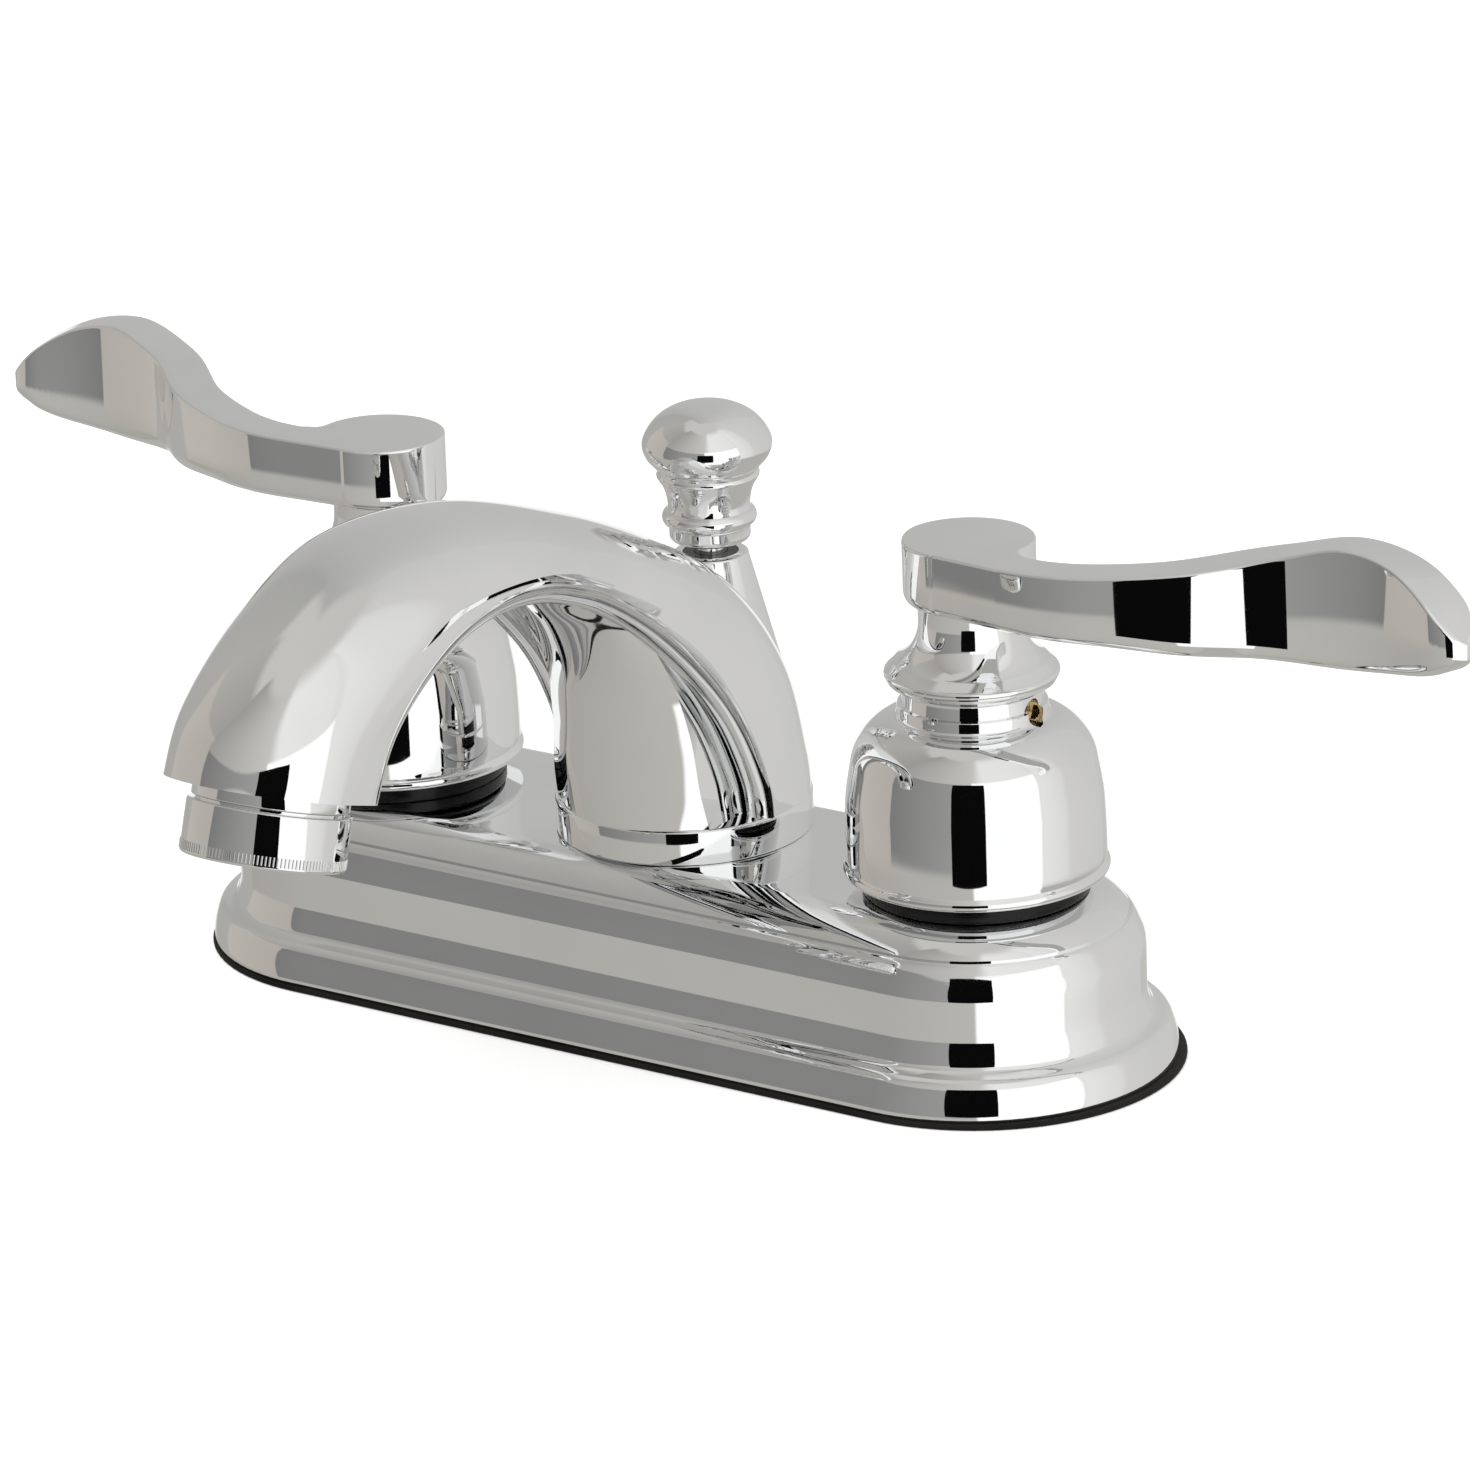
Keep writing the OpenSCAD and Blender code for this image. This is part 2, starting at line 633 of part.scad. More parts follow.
module cartridge(side) {
    color(brass)
    at_handle(side)
    difference() {
        union() {
            ring(bore_r - fit, 0, fixed_z, barrel_top);
            ring(barrel_r - 0.6, 0, barrel_top, barrel_top + flange_t);
            ring(8.4, 0, barrel_top, cartridge_top);
        }
        translate([0, 0, fixed_z - 1]) cylinder(r = ceramic_r + fit, h = chamber_top - fixed_z + 1);
        cylinder(r = stem_r + fit, h = far);
        oring(bore_r - 0.8, 0.95, barrel_top - 4);
        translate([-side * (bore_r + ceramic_r) / 2, 0, driver_z + driver_t / 2 - 0.8])
            cube([bore_r - ceramic_r + 2, 6, driver_t + 1.6], center = true);
    }
}

module left_cartridge() { cartridge(-1); }
module right_cartridge() { cartridge(1); }

module valve_stem(side) {
    color(brass)
    at_handle(side)
    union() {
        intersection() {
            ring(ceramic_r - 0.3, 0, driver_z, driver_z + driver_t);
            translate([0, 0, driver_z]) cube([far, 4.6, far], center = true);
        }
        ring(stem_r, 0, driver_z, stem_top);
        for (x = [-1, 1])
            translate([x * 4.6 - 1, -2, moving_z + 1.2]) cube([2, 4, driver_z - moving_z - 1.2 + 0.5]);
    }
}

module left_valve_stem() { valve_stem(-1); }
module right_valve_stem() { valve_stem(1); }

module moving_disc(side) {
    color(grey)
    at_handle(side)
    difference() {
        ring(ceramic_r - 0.3, 0, moving_z, moving_z + ceramic_t);
        for (x = [-1, 1])
            translate([x * 4.6 - 1 - fit, -2 - fit, moving_z + 1.2 - fit]) cube([2 + 2 * fit, 4 + 2 * fit, ceramic_t]);
        for (a = [90, 270])
            translate([0, 0, moving_z - 1]) rotate_extrude(angle = 80, start = a - 40) translate([2.4, 0]) square([3.6, 6]);
    }
}

module left_moving_disc() { moving_disc(-1); }
module right_moving_disc() { moving_disc(1); }

module fixed_disc(side) {
    color(white)
    at_handle(side)
    difference() {
        ring(ceramic_r, 0, fixed_z, fixed_z + ceramic_t);
        for (a = [0, 180])
            translate([0, 0, fixed_z - 1]) rotate_extrude(angle = 80, start = a - 40) translate([2.4, 0]) square([3.6, 6]);
    }
}

module left_fixed_disc() { fixed_disc(-1); }
module right_fixed_disc() { fixed_disc(1); }

module seat_seal(side) {
    color(black)
    at_handle(side) ring(bore_r - 0.2, 5.4, seat_z, seat_z + seal_t);
}

module left_seat_seal() { seat_seal(-1); }
module right_seat_seal() { seat_seal(1); }

module cartridge_oring(side) {
    color(black)
    at_handle(side) oring(bore_r - 0.8, 0.75, barrel_top - 4);
}

module left_cartridge_oring() { cartridge_oring(-1); }
module right_cartridge_oring() { cartridge_oring(1); }

deck_gasket();
deck_plate();
valve_body();
left_shank();
right_shank();
spout();
spout_oring();
aerator_housing();
aerator_insert();
aerator_washer();
lift_rod();
lift_knob();
rod_bush();
left_lever();
left_bell();
left_set_screw();
left_skirt_ring();
left_bonnet_nut();
left_cartridge();
left_valve_stem();
left_moving_disc();
left_fixed_disc();
left_seat_seal();
left_cartridge_oring();
right_lever();
right_bell();
right_set_screw();
right_skirt_ring();
right_bonnet_nut();
right_cartridge();
right_valve_stem();
right_moving_disc();
right_fixed_disc();
right_seat_seal();
right_cartridge_oring();
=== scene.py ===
import json
import math

import bmesh
import bpy
from mathutils import Matrix, Vector


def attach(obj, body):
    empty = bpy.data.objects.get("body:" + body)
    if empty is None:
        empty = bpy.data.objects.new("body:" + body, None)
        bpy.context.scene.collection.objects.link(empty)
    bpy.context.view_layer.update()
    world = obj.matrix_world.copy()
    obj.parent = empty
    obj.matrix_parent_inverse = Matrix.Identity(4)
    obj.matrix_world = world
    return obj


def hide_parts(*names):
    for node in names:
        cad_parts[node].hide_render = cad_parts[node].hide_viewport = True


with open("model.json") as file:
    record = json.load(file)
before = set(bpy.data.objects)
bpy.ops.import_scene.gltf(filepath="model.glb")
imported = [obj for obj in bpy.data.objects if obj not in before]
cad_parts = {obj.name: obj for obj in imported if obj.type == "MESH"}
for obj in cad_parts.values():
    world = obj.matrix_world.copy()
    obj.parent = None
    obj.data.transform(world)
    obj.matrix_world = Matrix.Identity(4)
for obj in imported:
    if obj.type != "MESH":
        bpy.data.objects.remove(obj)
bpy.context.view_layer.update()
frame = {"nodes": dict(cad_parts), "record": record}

MM = 0.001
scene = bpy.context.scene

# Sizes of the faucet, in millimetres; the main ones are those of the part's source
HALF = 50.8
FOOT_R, WALL_R, STEP_R, DECK_Z = 28.1, 23.7, 21.4, 25.7
STEP_H, CROWN_R, SHOULDER_R, COVE_BOW, FOOT_BOW = 3.4, 11.0, 3.4, 9.6, 11.0
GASKET_T, GASKET_LIP, GASKET_SHIFT = 0.8, 0.7, 0.5
REACH, OUTLET_Z, TILT, TIP_H, OUTLET_R, RIM_OUT = 95.0, 58.8, 18.0, 2.4, 11.3, 0.5
PAD_R, PAD_BACK, PAD_H = 18.6, 1.2, 5.2
ROLL_R = 3.0
INLET_Y, INLET_R, INLET_TOP = -5.0, 6.05, 45.0
ROD_BACK, ROD_R, ROD_LOW = 10.0, 2.38, -60.0
BOSS_TOP, BOSS_R, BOSS_FLARE, BOSS_LOW = 64.4, 5.4, 4.8, 46.0
BUSH_R, BUSH_H = 4.05, 1.2
KNOB_Z, KNOB_R, KNOB_H = 66.2, 9.4, 20.3
LEVER_T, LEVER_LEN, HUB_R, HUB_TOP, HUB_Z = 7.0, 76.5, 9.4, 77.2, 68.0
STEM_R, STEM_LOW, STEM_NECK_R, NECK_BOW, NECK_Z = 6.0, 47.5, 7.4, 6.5, 55.5
DISC_R, DISC_Z, DISC_EDGE = 12.4, 57.9, 0.6
STEM_BORE = 4.0
BELL_R, BELL_Z, BELL_WALL, BELL_ROUND, BELL_RIM = 18.9, 27.9, 2.0, 8.1, 0.9
SCREW_R, SCREW_Z = 1.85, 53.2
RING_R, RING_IN, RING_T, RING_EDGE = 16.2, 11.7, 1.9, 0.3
SHANK_R, SHANK_BORE, SHANK_LOW, SHANK_NECK, SHANK_TOP = 10.45, 6.0, -45.0, -2.0, 6.3
THREAD_LOW, THREAD_LEN = -44.0, 40.2
AERATOR_H, SOCKET_R, SOCKET_H, INSERT_R = 7.6, 10.2, 5.0, 8.7

# The deck plate's upright wall, the bow over it, its sheet's thickness and its flat middle
COVE_TOP, WALL_TOP, SHOULDER_BOW, SHEET_T, MIDDLE_R = 11.3, 16.9, 6.0, 2.2, 6.0
# How far each lever stands from straight sideways in the photograph, in degrees
LEVER_TURN = {-1: 1.0, 1: 3.0}
KNURL_RIBS = 132


# Outlines

def arc(cx, cy, r, a0, a1, n):
    return [(cx + r * math.cos(math.radians(a0 + (a1 - a0) * i / n)),
             cy + r * math.sin(math.radians(a0 + (a1 - a0) * i / n))) for i in range(n + 1)]


def line(a, b, n):
    """The points between two ends, without the ends."""
    return [tuple(p + (q - p) * i / n for p, q in zip(a, b)) for i in range(1, n)]


def smooth(rows, n):
    """A smooth curve through rows of numbers, with n steps to a span."""
    rows = [tuple(map(float, r)) for r in rows]
    first = tuple(2 * a - b for a, b in zip(rows[0], rows[1]))
    last = tuple(2 * a - b for a, b in zip(rows[-1], rows[-2]))
    rows = [first] + rows + [last]
    out = []
    for i in range(1, len(rows) - 2):
        for j in range(n):
            t = j / n
            out.append(tuple(0.5 * (2 * b + (c - a) * t + (2 * a - 5 * b + 4 * c - d) * t * t
                                    + (3 * b - a - 3 * c + d) * t ** 3)
                             for a, b, c, d in zip(*rows[i - 1:i + 3])))
    out.append(rows[-2])
    return out


def value_at(curve, u):
    """Height of a curve of (u, height) points at u."""
    for (u0, z0), (u1, z1) in zip(curve, curve[1:]):
        if u <= u1:
            t = min(1.0, max(0.0, (u - u0) / max(1e-9, u1 - u0)))
            return z0 + (z1 - z0) * t
    return curve[-1][1]


# Meshes

def new_object(name, verts, faces, edges=()):
    mesh = bpy.data.meshes.new(name)
    mesh.from_pydata([tuple(c * MM for c in v) for v in verts], edges, faces)
    mesh.update()
    obj = bpy.data.objects.new(name, mesh)
    scene.collection.objects.link(obj)
    return obj


def smooth_faces(obj, sharp):
    obj.data.shade_smooth()
    obj.data.set_sharp_from_angle(angle=math.radians(sharp))
    return obj


def tidy_mesh(obj, sharp=32.0, merge=0.004):
    """Joins doubled points, turns the faces outwards and marks the sharp edges."""
    bm = bmesh.new()
    bm.from_mesh(obj.data)
    bmesh.ops.remove_doubles(bm, verts=bm.verts, dist=merge * MM)
    bmesh.ops.dissolve_degenerate(bm, edges=bm.edges, dist=0.0005 * MM)
    bmesh.ops.delete(bm, geom=[e for e in bm.edges if not e.link_faces], context="EDGES")
    bmesh.ops.delete(bm, geom=[v for v in bm.verts if not v.link_faces], context="VERTS")
    bmesh.ops.recalc_face_normals(bm, faces=bm.faces)
    bm.to_mesh(obj.data)
    bm.free()
    return smooth_faces(obj, sharp)


def loft(name, rings):
    """A closed skin over rings of points, with a flat cap on the first and the last."""
    n = len(rings[0])
    verts = [p for ring in rings for p in ring]
    faces = []
    for i in range(len(rings) - 1):
        for j in range(n):
            a, b = i * n + j, i * n + (j + 1) % n
            faces.append((a, b, b + n, a + n))
    faces.append(tuple(range(n))[::-1])
    faces.append(tuple((len(rings) - 1) * n + j for j in range(n)))
    return new_object(name, verts, faces)


def apply_modifiers(obj):
    graph = bpy.context.evaluated_depsgraph_get()
    mesh = bpy.data.meshes.new_from_object(obj.evaluated_get(graph), depsgraph=graph)
    obj.modifiers.clear()
    old = obj.data
    obj.data = mesh
    mesh.name = obj.name
    bpy.data.meshes.remove(old)
    return obj


def boolean(obj, others, operation):
    """Applies a boolean with each of the other objects and removes them."""
    for other in others:
        mod = obj.modifiers.new("boolean", "BOOLEAN")
        mod.operation = operation
        mod.solver = "EXACT"
        mod.object = other
        apply_modifiers(obj)
        bpy.data.objects.remove(other)
    return obj


def drilled(obj, holes, low, high, sides=64):
    """Cuts round holes, given as (x, y, radius), from one height to another."""
    for x, y, r in holes:
        rim = [(x + r * math.cos(math.tau * i / sides), y + r * math.sin(math.tau * i / sides))
               for i in range(sides)]
        drill = loft("drill", [[(*point, z) for point in rim] for z in (low, high)])
        boolean(obj, [drill], "DIFFERENCE")
    return obj


def moved(obj, matrix):
    obj.data.transform(matrix)
    return obj


def shifted(x, y, z):
    return Matrix.Translation(Vector((x, y, z)) * MM)


# The outlet's seat in the spout, and the way that it points up
OUTLET = shifted(0, -REACH, OUTLET_Z) @ Matrix.Rotation(math.radians(-TILT), 4, "X")
OUT_AXIS = Vector((0, math.sin(math.radians(TILT)), math.cos(math.radians(TILT))))


# Geometry Nodes

def tree_with(name, inputs):
    tree = bpy.data.node_groups.new(name, "GeometryNodeTree")
    face = tree.interface
    face.new_socket("Geometry", in_out="INPUT", socket_type="NodeSocketGeometry")
    for label, kind, default in inputs:
        face.new_socket(label, in_out="INPUT", socket_type=kind).default_value = default
    face.new_socket("Geometry", in_out="OUTPUT", socket_type="NodeSocketGeometry")
    return tree, tree.nodes.new("NodeGroupInput"), tree.nodes.new("NodeGroupOutput")


def close_tree(tree, socket, group_out, material):
    real = tree.nodes.new("GeometryNodeRealizeInstances")
    paint = tree.nodes.new("GeometryNodeSetMaterial")
    paint.inputs["Material"].default_value = material
    tree.links.new(socket, real.inputs[0])
    tree.links.new(real.outputs[0], paint.inputs["Geometry"])
    tree.links.new(paint.outputs[0], group_out.inputs["Geometry"])


def run_tree(obj, tree, values):
    mod = obj.modifiers.new(tree.name, "NODES")
    mod.node_group = tree
    for item in tree.interface.items_tree:
        if item.item_type == "SOCKET" and item.in_out == "INPUT" and item.name in values:
            mod[item.identifier] = values[item.name]
    return apply_modifiers(obj)


def turning_tree(material):
    """Turns an outline, given as edges at (radius, -height), round the Z axis."""
    tree, gin, gout = tree_with("turned_piece", [("Segments", "NodeSocketInt", 128)])
    node, link = tree.nodes.new, tree.links.new
    to_curve = node("GeometryNodeMeshToCurve")
    circle = node("GeometryNodeCurvePrimitiveCircle")
    circle.inputs["Radius"].default_value = MM
    up = node("GeometryNodeSetCurveNormal")
    up.mode = "Z_UP"
    sweep = node("GeometryNodeCurveToMesh")
    link(gin.outputs["Geometry"], to_curve.inputs["Mesh"])
    link(gin.outputs["Segments"], circle.inputs["Resolution"])
    link(circle.outputs["Curve"], up.inputs["Curve"])
    link(up.outputs["Curve"], sweep.inputs["Curve"])
    link(to_curve.outputs["Curve"], sweep.inputs["Profile Curve"])
    close_tree(tree, sweep.outputs["Mesh"], gout, material)
    return tree


def knurl_tree(material):
    """Fine upright ribs set round a ring, for the grip of a housing."""
    tree, gin, gout = tree_with("knurled_rim", [
        ("Count", "NodeSocketInt", KNURL_RIBS), ("Radius", "NodeSocketFloat", 0.01126),
        ("Height", "NodeSocketFloat", -0.0064), ("Rib length", "NodeSocketFloat", 0.0013),
        ("Rib radius", "NodeSocketFloat", 0.00014)])
    node, link = tree.nodes.new, tree.links.new
    ring = node("GeometryNodeMeshCircle")
    shift = node("ShaderNodeCombineXYZ")
    lower = node("GeometryNodeTransform")
    rib = node("GeometryNodeMeshCylinder")
    rib.inputs["Vertices"].default_value = 8
    copies = node("GeometryNodeInstanceOnPoints")
    join = node("GeometryNodeJoinGeometry")
    link(gin.outputs["Count"], ring.inputs["Vertices"])
    link(gin.outputs["Radius"], ring.inputs["Radius"])
    link(gin.outputs["Height"], shift.inputs["Z"])
    link(shift.outputs["Vector"], lower.inputs["Translation"])
    link(ring.outputs["Mesh"], lower.inputs["Geometry"])
    link(gin.outputs["Rib length"], rib.inputs["Depth"])
    link(gin.outputs["Rib radius"], rib.inputs["Radius"])
    link(lower.outputs["Geometry"], copies.inputs["Points"])
    link(rib.outputs["Mesh"], copies.inputs["Instance"])
    link(copies.outputs["Instances"], join.inputs["Geometry"])
    link(gin.outputs["Geometry"], join.inputs["Geometry"])
    close_tree(tree, join.outputs["Geometry"], gout, material)
    return tree


def thread_tree(material):
    """A pipe thread: a helical ridge wound on a plain core."""
    tree, gin, gout = tree_with("pipe_thread", [
        ("Pitch", "NodeSocketFloat", 0.001814), ("Length", "NodeSocketFloat", THREAD_LEN * MM),
        ("Root radius", "NodeSocketFloat", 0.0094), ("Ridge radius", "NodeSocketFloat", 0.00105),
        ("Start height", "NodeSocketFloat", THREAD_LOW * MM)])
    node, link = tree.nodes.new, tree.links.new
    turns = node("ShaderNodeMath")
    turns.operation = "DIVIDE"
    coil = node("GeometryNodeCurveSpiral")
    coil.inputs["Resolution"].default_value = 40
    ridge = node("GeometryNodeCurvePrimitiveCircle")
    ridge.inputs["Resolution"].default_value = 3
    up = node("GeometryNodeSetCurveNormal")
    up.mode = "Z_UP"
    sweep = node("GeometryNodeCurveToMesh")
    sweep.inputs["Fill Caps"].default_value = True
    shift = node("ShaderNodeCombineXYZ")
    lower = node("GeometryNodeTransform")
    join = node("GeometryNodeJoinGeometry")
    link(gin.outputs["Length"], turns.inputs[0])
    link(gin.outputs["Pitch"], turns.inputs[1])
    link(turns.outputs[0], coil.inputs["Rotations"])
    link(gin.outputs["Root radius"], coil.inputs["Start Radius"])
    link(gin.outputs["Root radius"], coil.inputs["End Radius"])
    link(gin.outputs["Length"], coil.inputs["Height"])
    link(gin.outputs["Ridge radius"], ridge.inputs["Radius"])
    link(coil.outputs["Curve"], up.inputs["Curve"])
    link(up.outputs["Curve"], sweep.inputs["Curve"])
    link(ridge.outputs["Curve"], sweep.inputs["Profile Curve"])
    link(gin.outputs["Start height"], shift.inputs["Z"])
    link(shift.outputs["Vector"], lower.inputs["Translation"])
    link(sweep.outputs["Mesh"], lower.inputs["Geometry"])
    link(lower.outputs["Geometry"], join.inputs["Geometry"])
    link(gin.outputs["Geometry"], join.inputs["Geometry"])
    close_tree(tree, join.outputs["Geometry"], gout, material)
    return tree


# Finishes

TINT_GRAIN, WAVE_GRAIN = 45.0, 22.0


def noise(nodes, links, coord, scale, detail, stretch):
    place = nodes.new("ShaderNodeMapping")
    place.inputs["Scale"].default_value = stretch
    tex = nodes.new("ShaderNodeTexNoise")
    tex.inputs["Scale"].default_value = scale
    tex.inputs["Detail"].default_value = detail
    links.new(coord, place.inputs["Vector"])
    links.new(place.outputs["Vector"], tex.inputs["Vector"])
    return tex.outputs["Fac"]


def finish(name, dark, light, rough, grain, metallic=0.0, ior=1.5, stretch=(1, 1, 1),
           wave_depth=0.0, grain_depth=0.0):
    """A finish whose colour and gloss vary over the surface, with a slow wave or a fine grain."""
    mat = bpy.data.materials.new(name)
    mat.use_nodes = True
    nodes, links = mat.node_tree.nodes, mat.node_tree.links
    shader = nodes["Principled BSDF"]
    shader.inputs["Metallic"].default_value = metallic
    shader.inputs["IOR"].default_value = ior
    coord = nodes.new("ShaderNodeTexCoord").outputs["Object"]
    ramp = nodes.new("ShaderNodeValToRGB")
    for element, position, colour in zip(ramp.color_ramp.elements, (0.35, 0.65), (dark, light)):
        element.position = position
        element.color = (*colour, 1)
    links.new(noise(nodes, links, coord, TINT_GRAIN, 4.0, stretch), ramp.inputs["Fac"])
    links.new(ramp.outputs["Color"], shader.inputs["Base Color"])
    gloss = nodes.new("ShaderNodeMapRange")
    gloss.inputs["To Min"].default_value = rough[0]
    gloss.inputs["To Max"].default_value = rough[1]
    links.new(noise(nodes, links, coord, grain, 5.0, stretch), gloss.inputs["Value"])
    links.new(gloss.outputs["Result"], shader.inputs["Roughness"])
    for scale, depth in ((WAVE_GRAIN, wave_depth), (grain, grain_depth)):
        if depth:
            bump = nodes.new("ShaderNodeBump")
            bump.inputs["Strength"].default_value = 1.0
            bump.inputs["Distance"].default_value = depth * MM
            links.new(noise(nodes, links, coord, scale, 2.0, stretch), bump.inputs["Height"])
            links.new(bump.outputs["Normal"], shader.inputs["Normal"])
    return mat


CHROME = finish("polished_chrome", (0.84, 0.845, 0.85), (0.88, 0.885, 0.89), (0.015, 0.035),
                grain=900.0, metallic=1.0, wave_depth=0.012)
BRASS = finish("machined_brass", (0.60, 0.43, 0.19), (0.74, 0.56, 0.28), (0.18, 0.34),
               grain=700.0, metallic=1.0, stretch=(1, 1, 6), grain_depth=0.01)
RUBBER = finish("gasket_rubber", (0.006, 0.0055, 0.005), (0.016, 0.014, 0.013), (0.5, 0.7),
                grain=1200.0, ior=1.25, grain_depth=0.02)
BLACK = finish("glossy_black_nylon", (0.003, 0.003, 0.003), (0.009, 0.009, 0.01), (0.16, 0.28),
               grain=600.0, ior=1.32, grain_depth=0.006)
WHITE = finish("white_acetal", (0.76, 0.75, 0.71), (0.84, 0.83, 0.79), (0.3, 0.42),
               grain=500.0, grain_depth=0.006)
GREY_CERAMIC = finish("grey_lapped_ceramic", (0.16, 0.165, 0.175), (0.22, 0.225, 0.235),
                      (0.12, 0.2), grain=900.0)
WHITE_CERAMIC = finish("white_lapped_ceramic", (0.78, 0.77, 0.74), (0.86, 0.85, 0.82),
                       (0.12, 0.2), grain=900.0)
BY_SLOT = {"chrome": CHROME, "brass": BRASS, "rubber": RUBBER, "black_plastic": BLACK,
           "white_plastic": WHITE, "grey_ceramic": GREY_CERAMIC, "white_ceramic": WHITE_CERAMIC}
for part in frame["record"]["subparts"]:
    mesh = frame["nodes"][part["node"]].data
    mesh.materials.clear()
    mesh.materials.append(BY_SLOT[part["material_slot"]])


def place(obj, body, slot_name, *nodes):
    """Gives a finished piece its finish and its body, and hides the nodes that it stands for."""
    obj.data.materials.clear()
    obj.data.materials.append(BY_SLOT[slot_name])
    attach(obj, body)
    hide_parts(*nodes)
    return obj


# Turned pieces

TURNING = {material.name: turning_tree(material) for material in (CHROME, BLACK, BRASS)}


def turned(name, outline, material=CHROME, segments=144, sharp=32.0):
    """A closed outline of (radius, height) points turned round the Z axis."""
    n = len(outline)
    obj = new_object(name, [(r - 1, -z, 0) for r, z in outline], [],
                     [(i, (i + 1) % n) for i in range(n)])
    return tidy_mesh(run_tree(obj, TURNING[material.name], {"Segments": segments}), sharp)


def bar(name, r, low, high, segments=64):
    """A plain round bar on the Z axis, as a cutter."""
    return turned(name, [(0, low), (r, low), (r, high), (0, high)], segments=segments)


# Deck plate and gasket

# The two sloping runs of the deck plate's outline, radius and height
FOOT_RUN = [(27.3, 5.32), (26.95, 5.95), (26.35, 6.42), (25.6, 6.76), (24.95, 7.1), (24.55, 7.45)]
SHOULDER_RUN = [(23.14, 19.44), (22.76, 20.3), (22.45, 20.95), (22.1, 21.5), (21.75, 21.85)]


def stadium_ring(r, z):
    """A level ring at a distance from the line between the two handle axes."""
    end = [(x, y, z) for x, y in arc(HALF, 0, r, -90, 90, 48)]
    return end + [(-x, -y, z) for x, y, z in end]


def deck_outside():
    shoulder_z = DECK_Z - STEP_H - SHOULDER_R - 0.1
    crown_z = DECK_Z - CROWN_R + 0.2
    crown_a = math.degrees(math.asin((DECK_Z - STEP_H - crown_z) / CROWN_R))
    crown_x = STEP_R - CROWN_R * math.cos(math.radians(crown_a))
    cove_foot = (WALL_R + COVE_BOW - COVE_BOW * math.cos(math.radians(21)), 7.86)
    return ([(FOOT_R - 0.6, GASKET_T)] + arc(FOOT_R - 0.25, GASKET_T + 0.25, 0.25, -90, 0, 3)
            + arc(FOOT_R - FOOT_BOW, GASKET_T + 0.4, FOOT_BOW, 1, 22, 12)
            + smooth(FOOT_RUN + [cove_foot], 4)[1:]
            + arc(WALL_R + COVE_BOW, COVE_TOP, COVE_BOW, 200, 180, 14)
            + line((WALL_R, COVE_TOP), (WALL_R, WALL_TOP), 4)
            + arc(WALL_R - SHOULDER_BOW, WALL_TOP, SHOULDER_BOW, 0, 25, 12)
            + smooth(SHOULDER_RUN, 4)[1:]
            + arc(STEP_R + 0.35, shoulder_z + 3.25, 0.3, 240, 180, 4)
            + arc(crown_x, crown_z, CROWN_R, crown_a, 78, 24)
            + [(crown_x + 1.4, DECK_Z - 0.02), (crown_x + 0.6, DECK_Z), (MIDDLE_R, DECK_Z)])


def deck_inside():
    shoulder_z = DECK_Z - STEP_H - SHOULDER_R - 0.1
    return [(MIDDLE_R, DECK_Z - SHEET_T), (STEP_R - 6.2, DECK_Z - SHEET_T),
            (STEP_R - 3.6, DECK_Z - 4.2), (WALL_R - SHEET_T, shoulder_z),
            (WALL_R - SHEET_T, 8.3), (FOOT_R - SHEET_T, GASKET_T + SHEET_T),
            (FOOT_R - SHEET_T, GASKET_T)]


def deck_plate():
    outside, inside = deck_outside(), deck_inside()
    rings = [stadium_ring(r, z) for r, z in outside + inside]
    top, n = len(outside) - 1, len(rings[0])
    verts = [p for ring in rings for p in ring]
    faces = []
    for i in list(range(top)) + list(range(top + 1, len(rings))):
        for j in range(n):
            k = (i + 1) % len(rings)
            faces.append((i * n + j, i * n + (j + 1) % n, k * n + (j + 1) % n, k * n + j))
    faces.append(tuple(top * n + j for j in range(n)))
    faces.append(tuple((top + 1) * n + j for j in range(n))[::-1])
    plate = tidy_mesh(new_object("deck_plate_cover", verts, faces), 30)
    holes = [(-HALF, 0, RING_IN), (HALF, 0, RING_IN), (0, INLET_Y, INLET_R + 0.25),
             (0, ROD_BACK, ROD_R + 0.8)]
    drilled(plate, holes, DECK_Z - 6, DECK_Z + 2)
    return place(tidy_mesh(plate, 30), "faucet_body", "chrome", "deck_plate")


def gasket():
    low, edge, inner = FOOT_R + GASKET_LIP, 0.35, 20.0
    outline = (arc(low - edge, edge, edge, -90, 0, 4)
               + arc(low - edge, GASKET_T - edge, edge, 0, 90, 4))
    rings = [stadium_ring(r, z) for r, z in [(inner, 0.0)] + outline + [(inner, GASKET_T)]]
    sheet = moved(tidy_mesh(loft("deck_gasket_sheet", rings)), shifted(GASKET_SHIFT, 0, 0))
    holes = [(-HALF, 0, SHANK_R + 0.45), (HALF, 0, SHANK_R + 0.45), (0, ROD_BACK, ROD_R + 1.2)]
    drilled(sheet, holes, -2, 4)
    return place(tidy_mesh(sheet), "faucet_body", "rubber", "deck_gasket")


# Spout

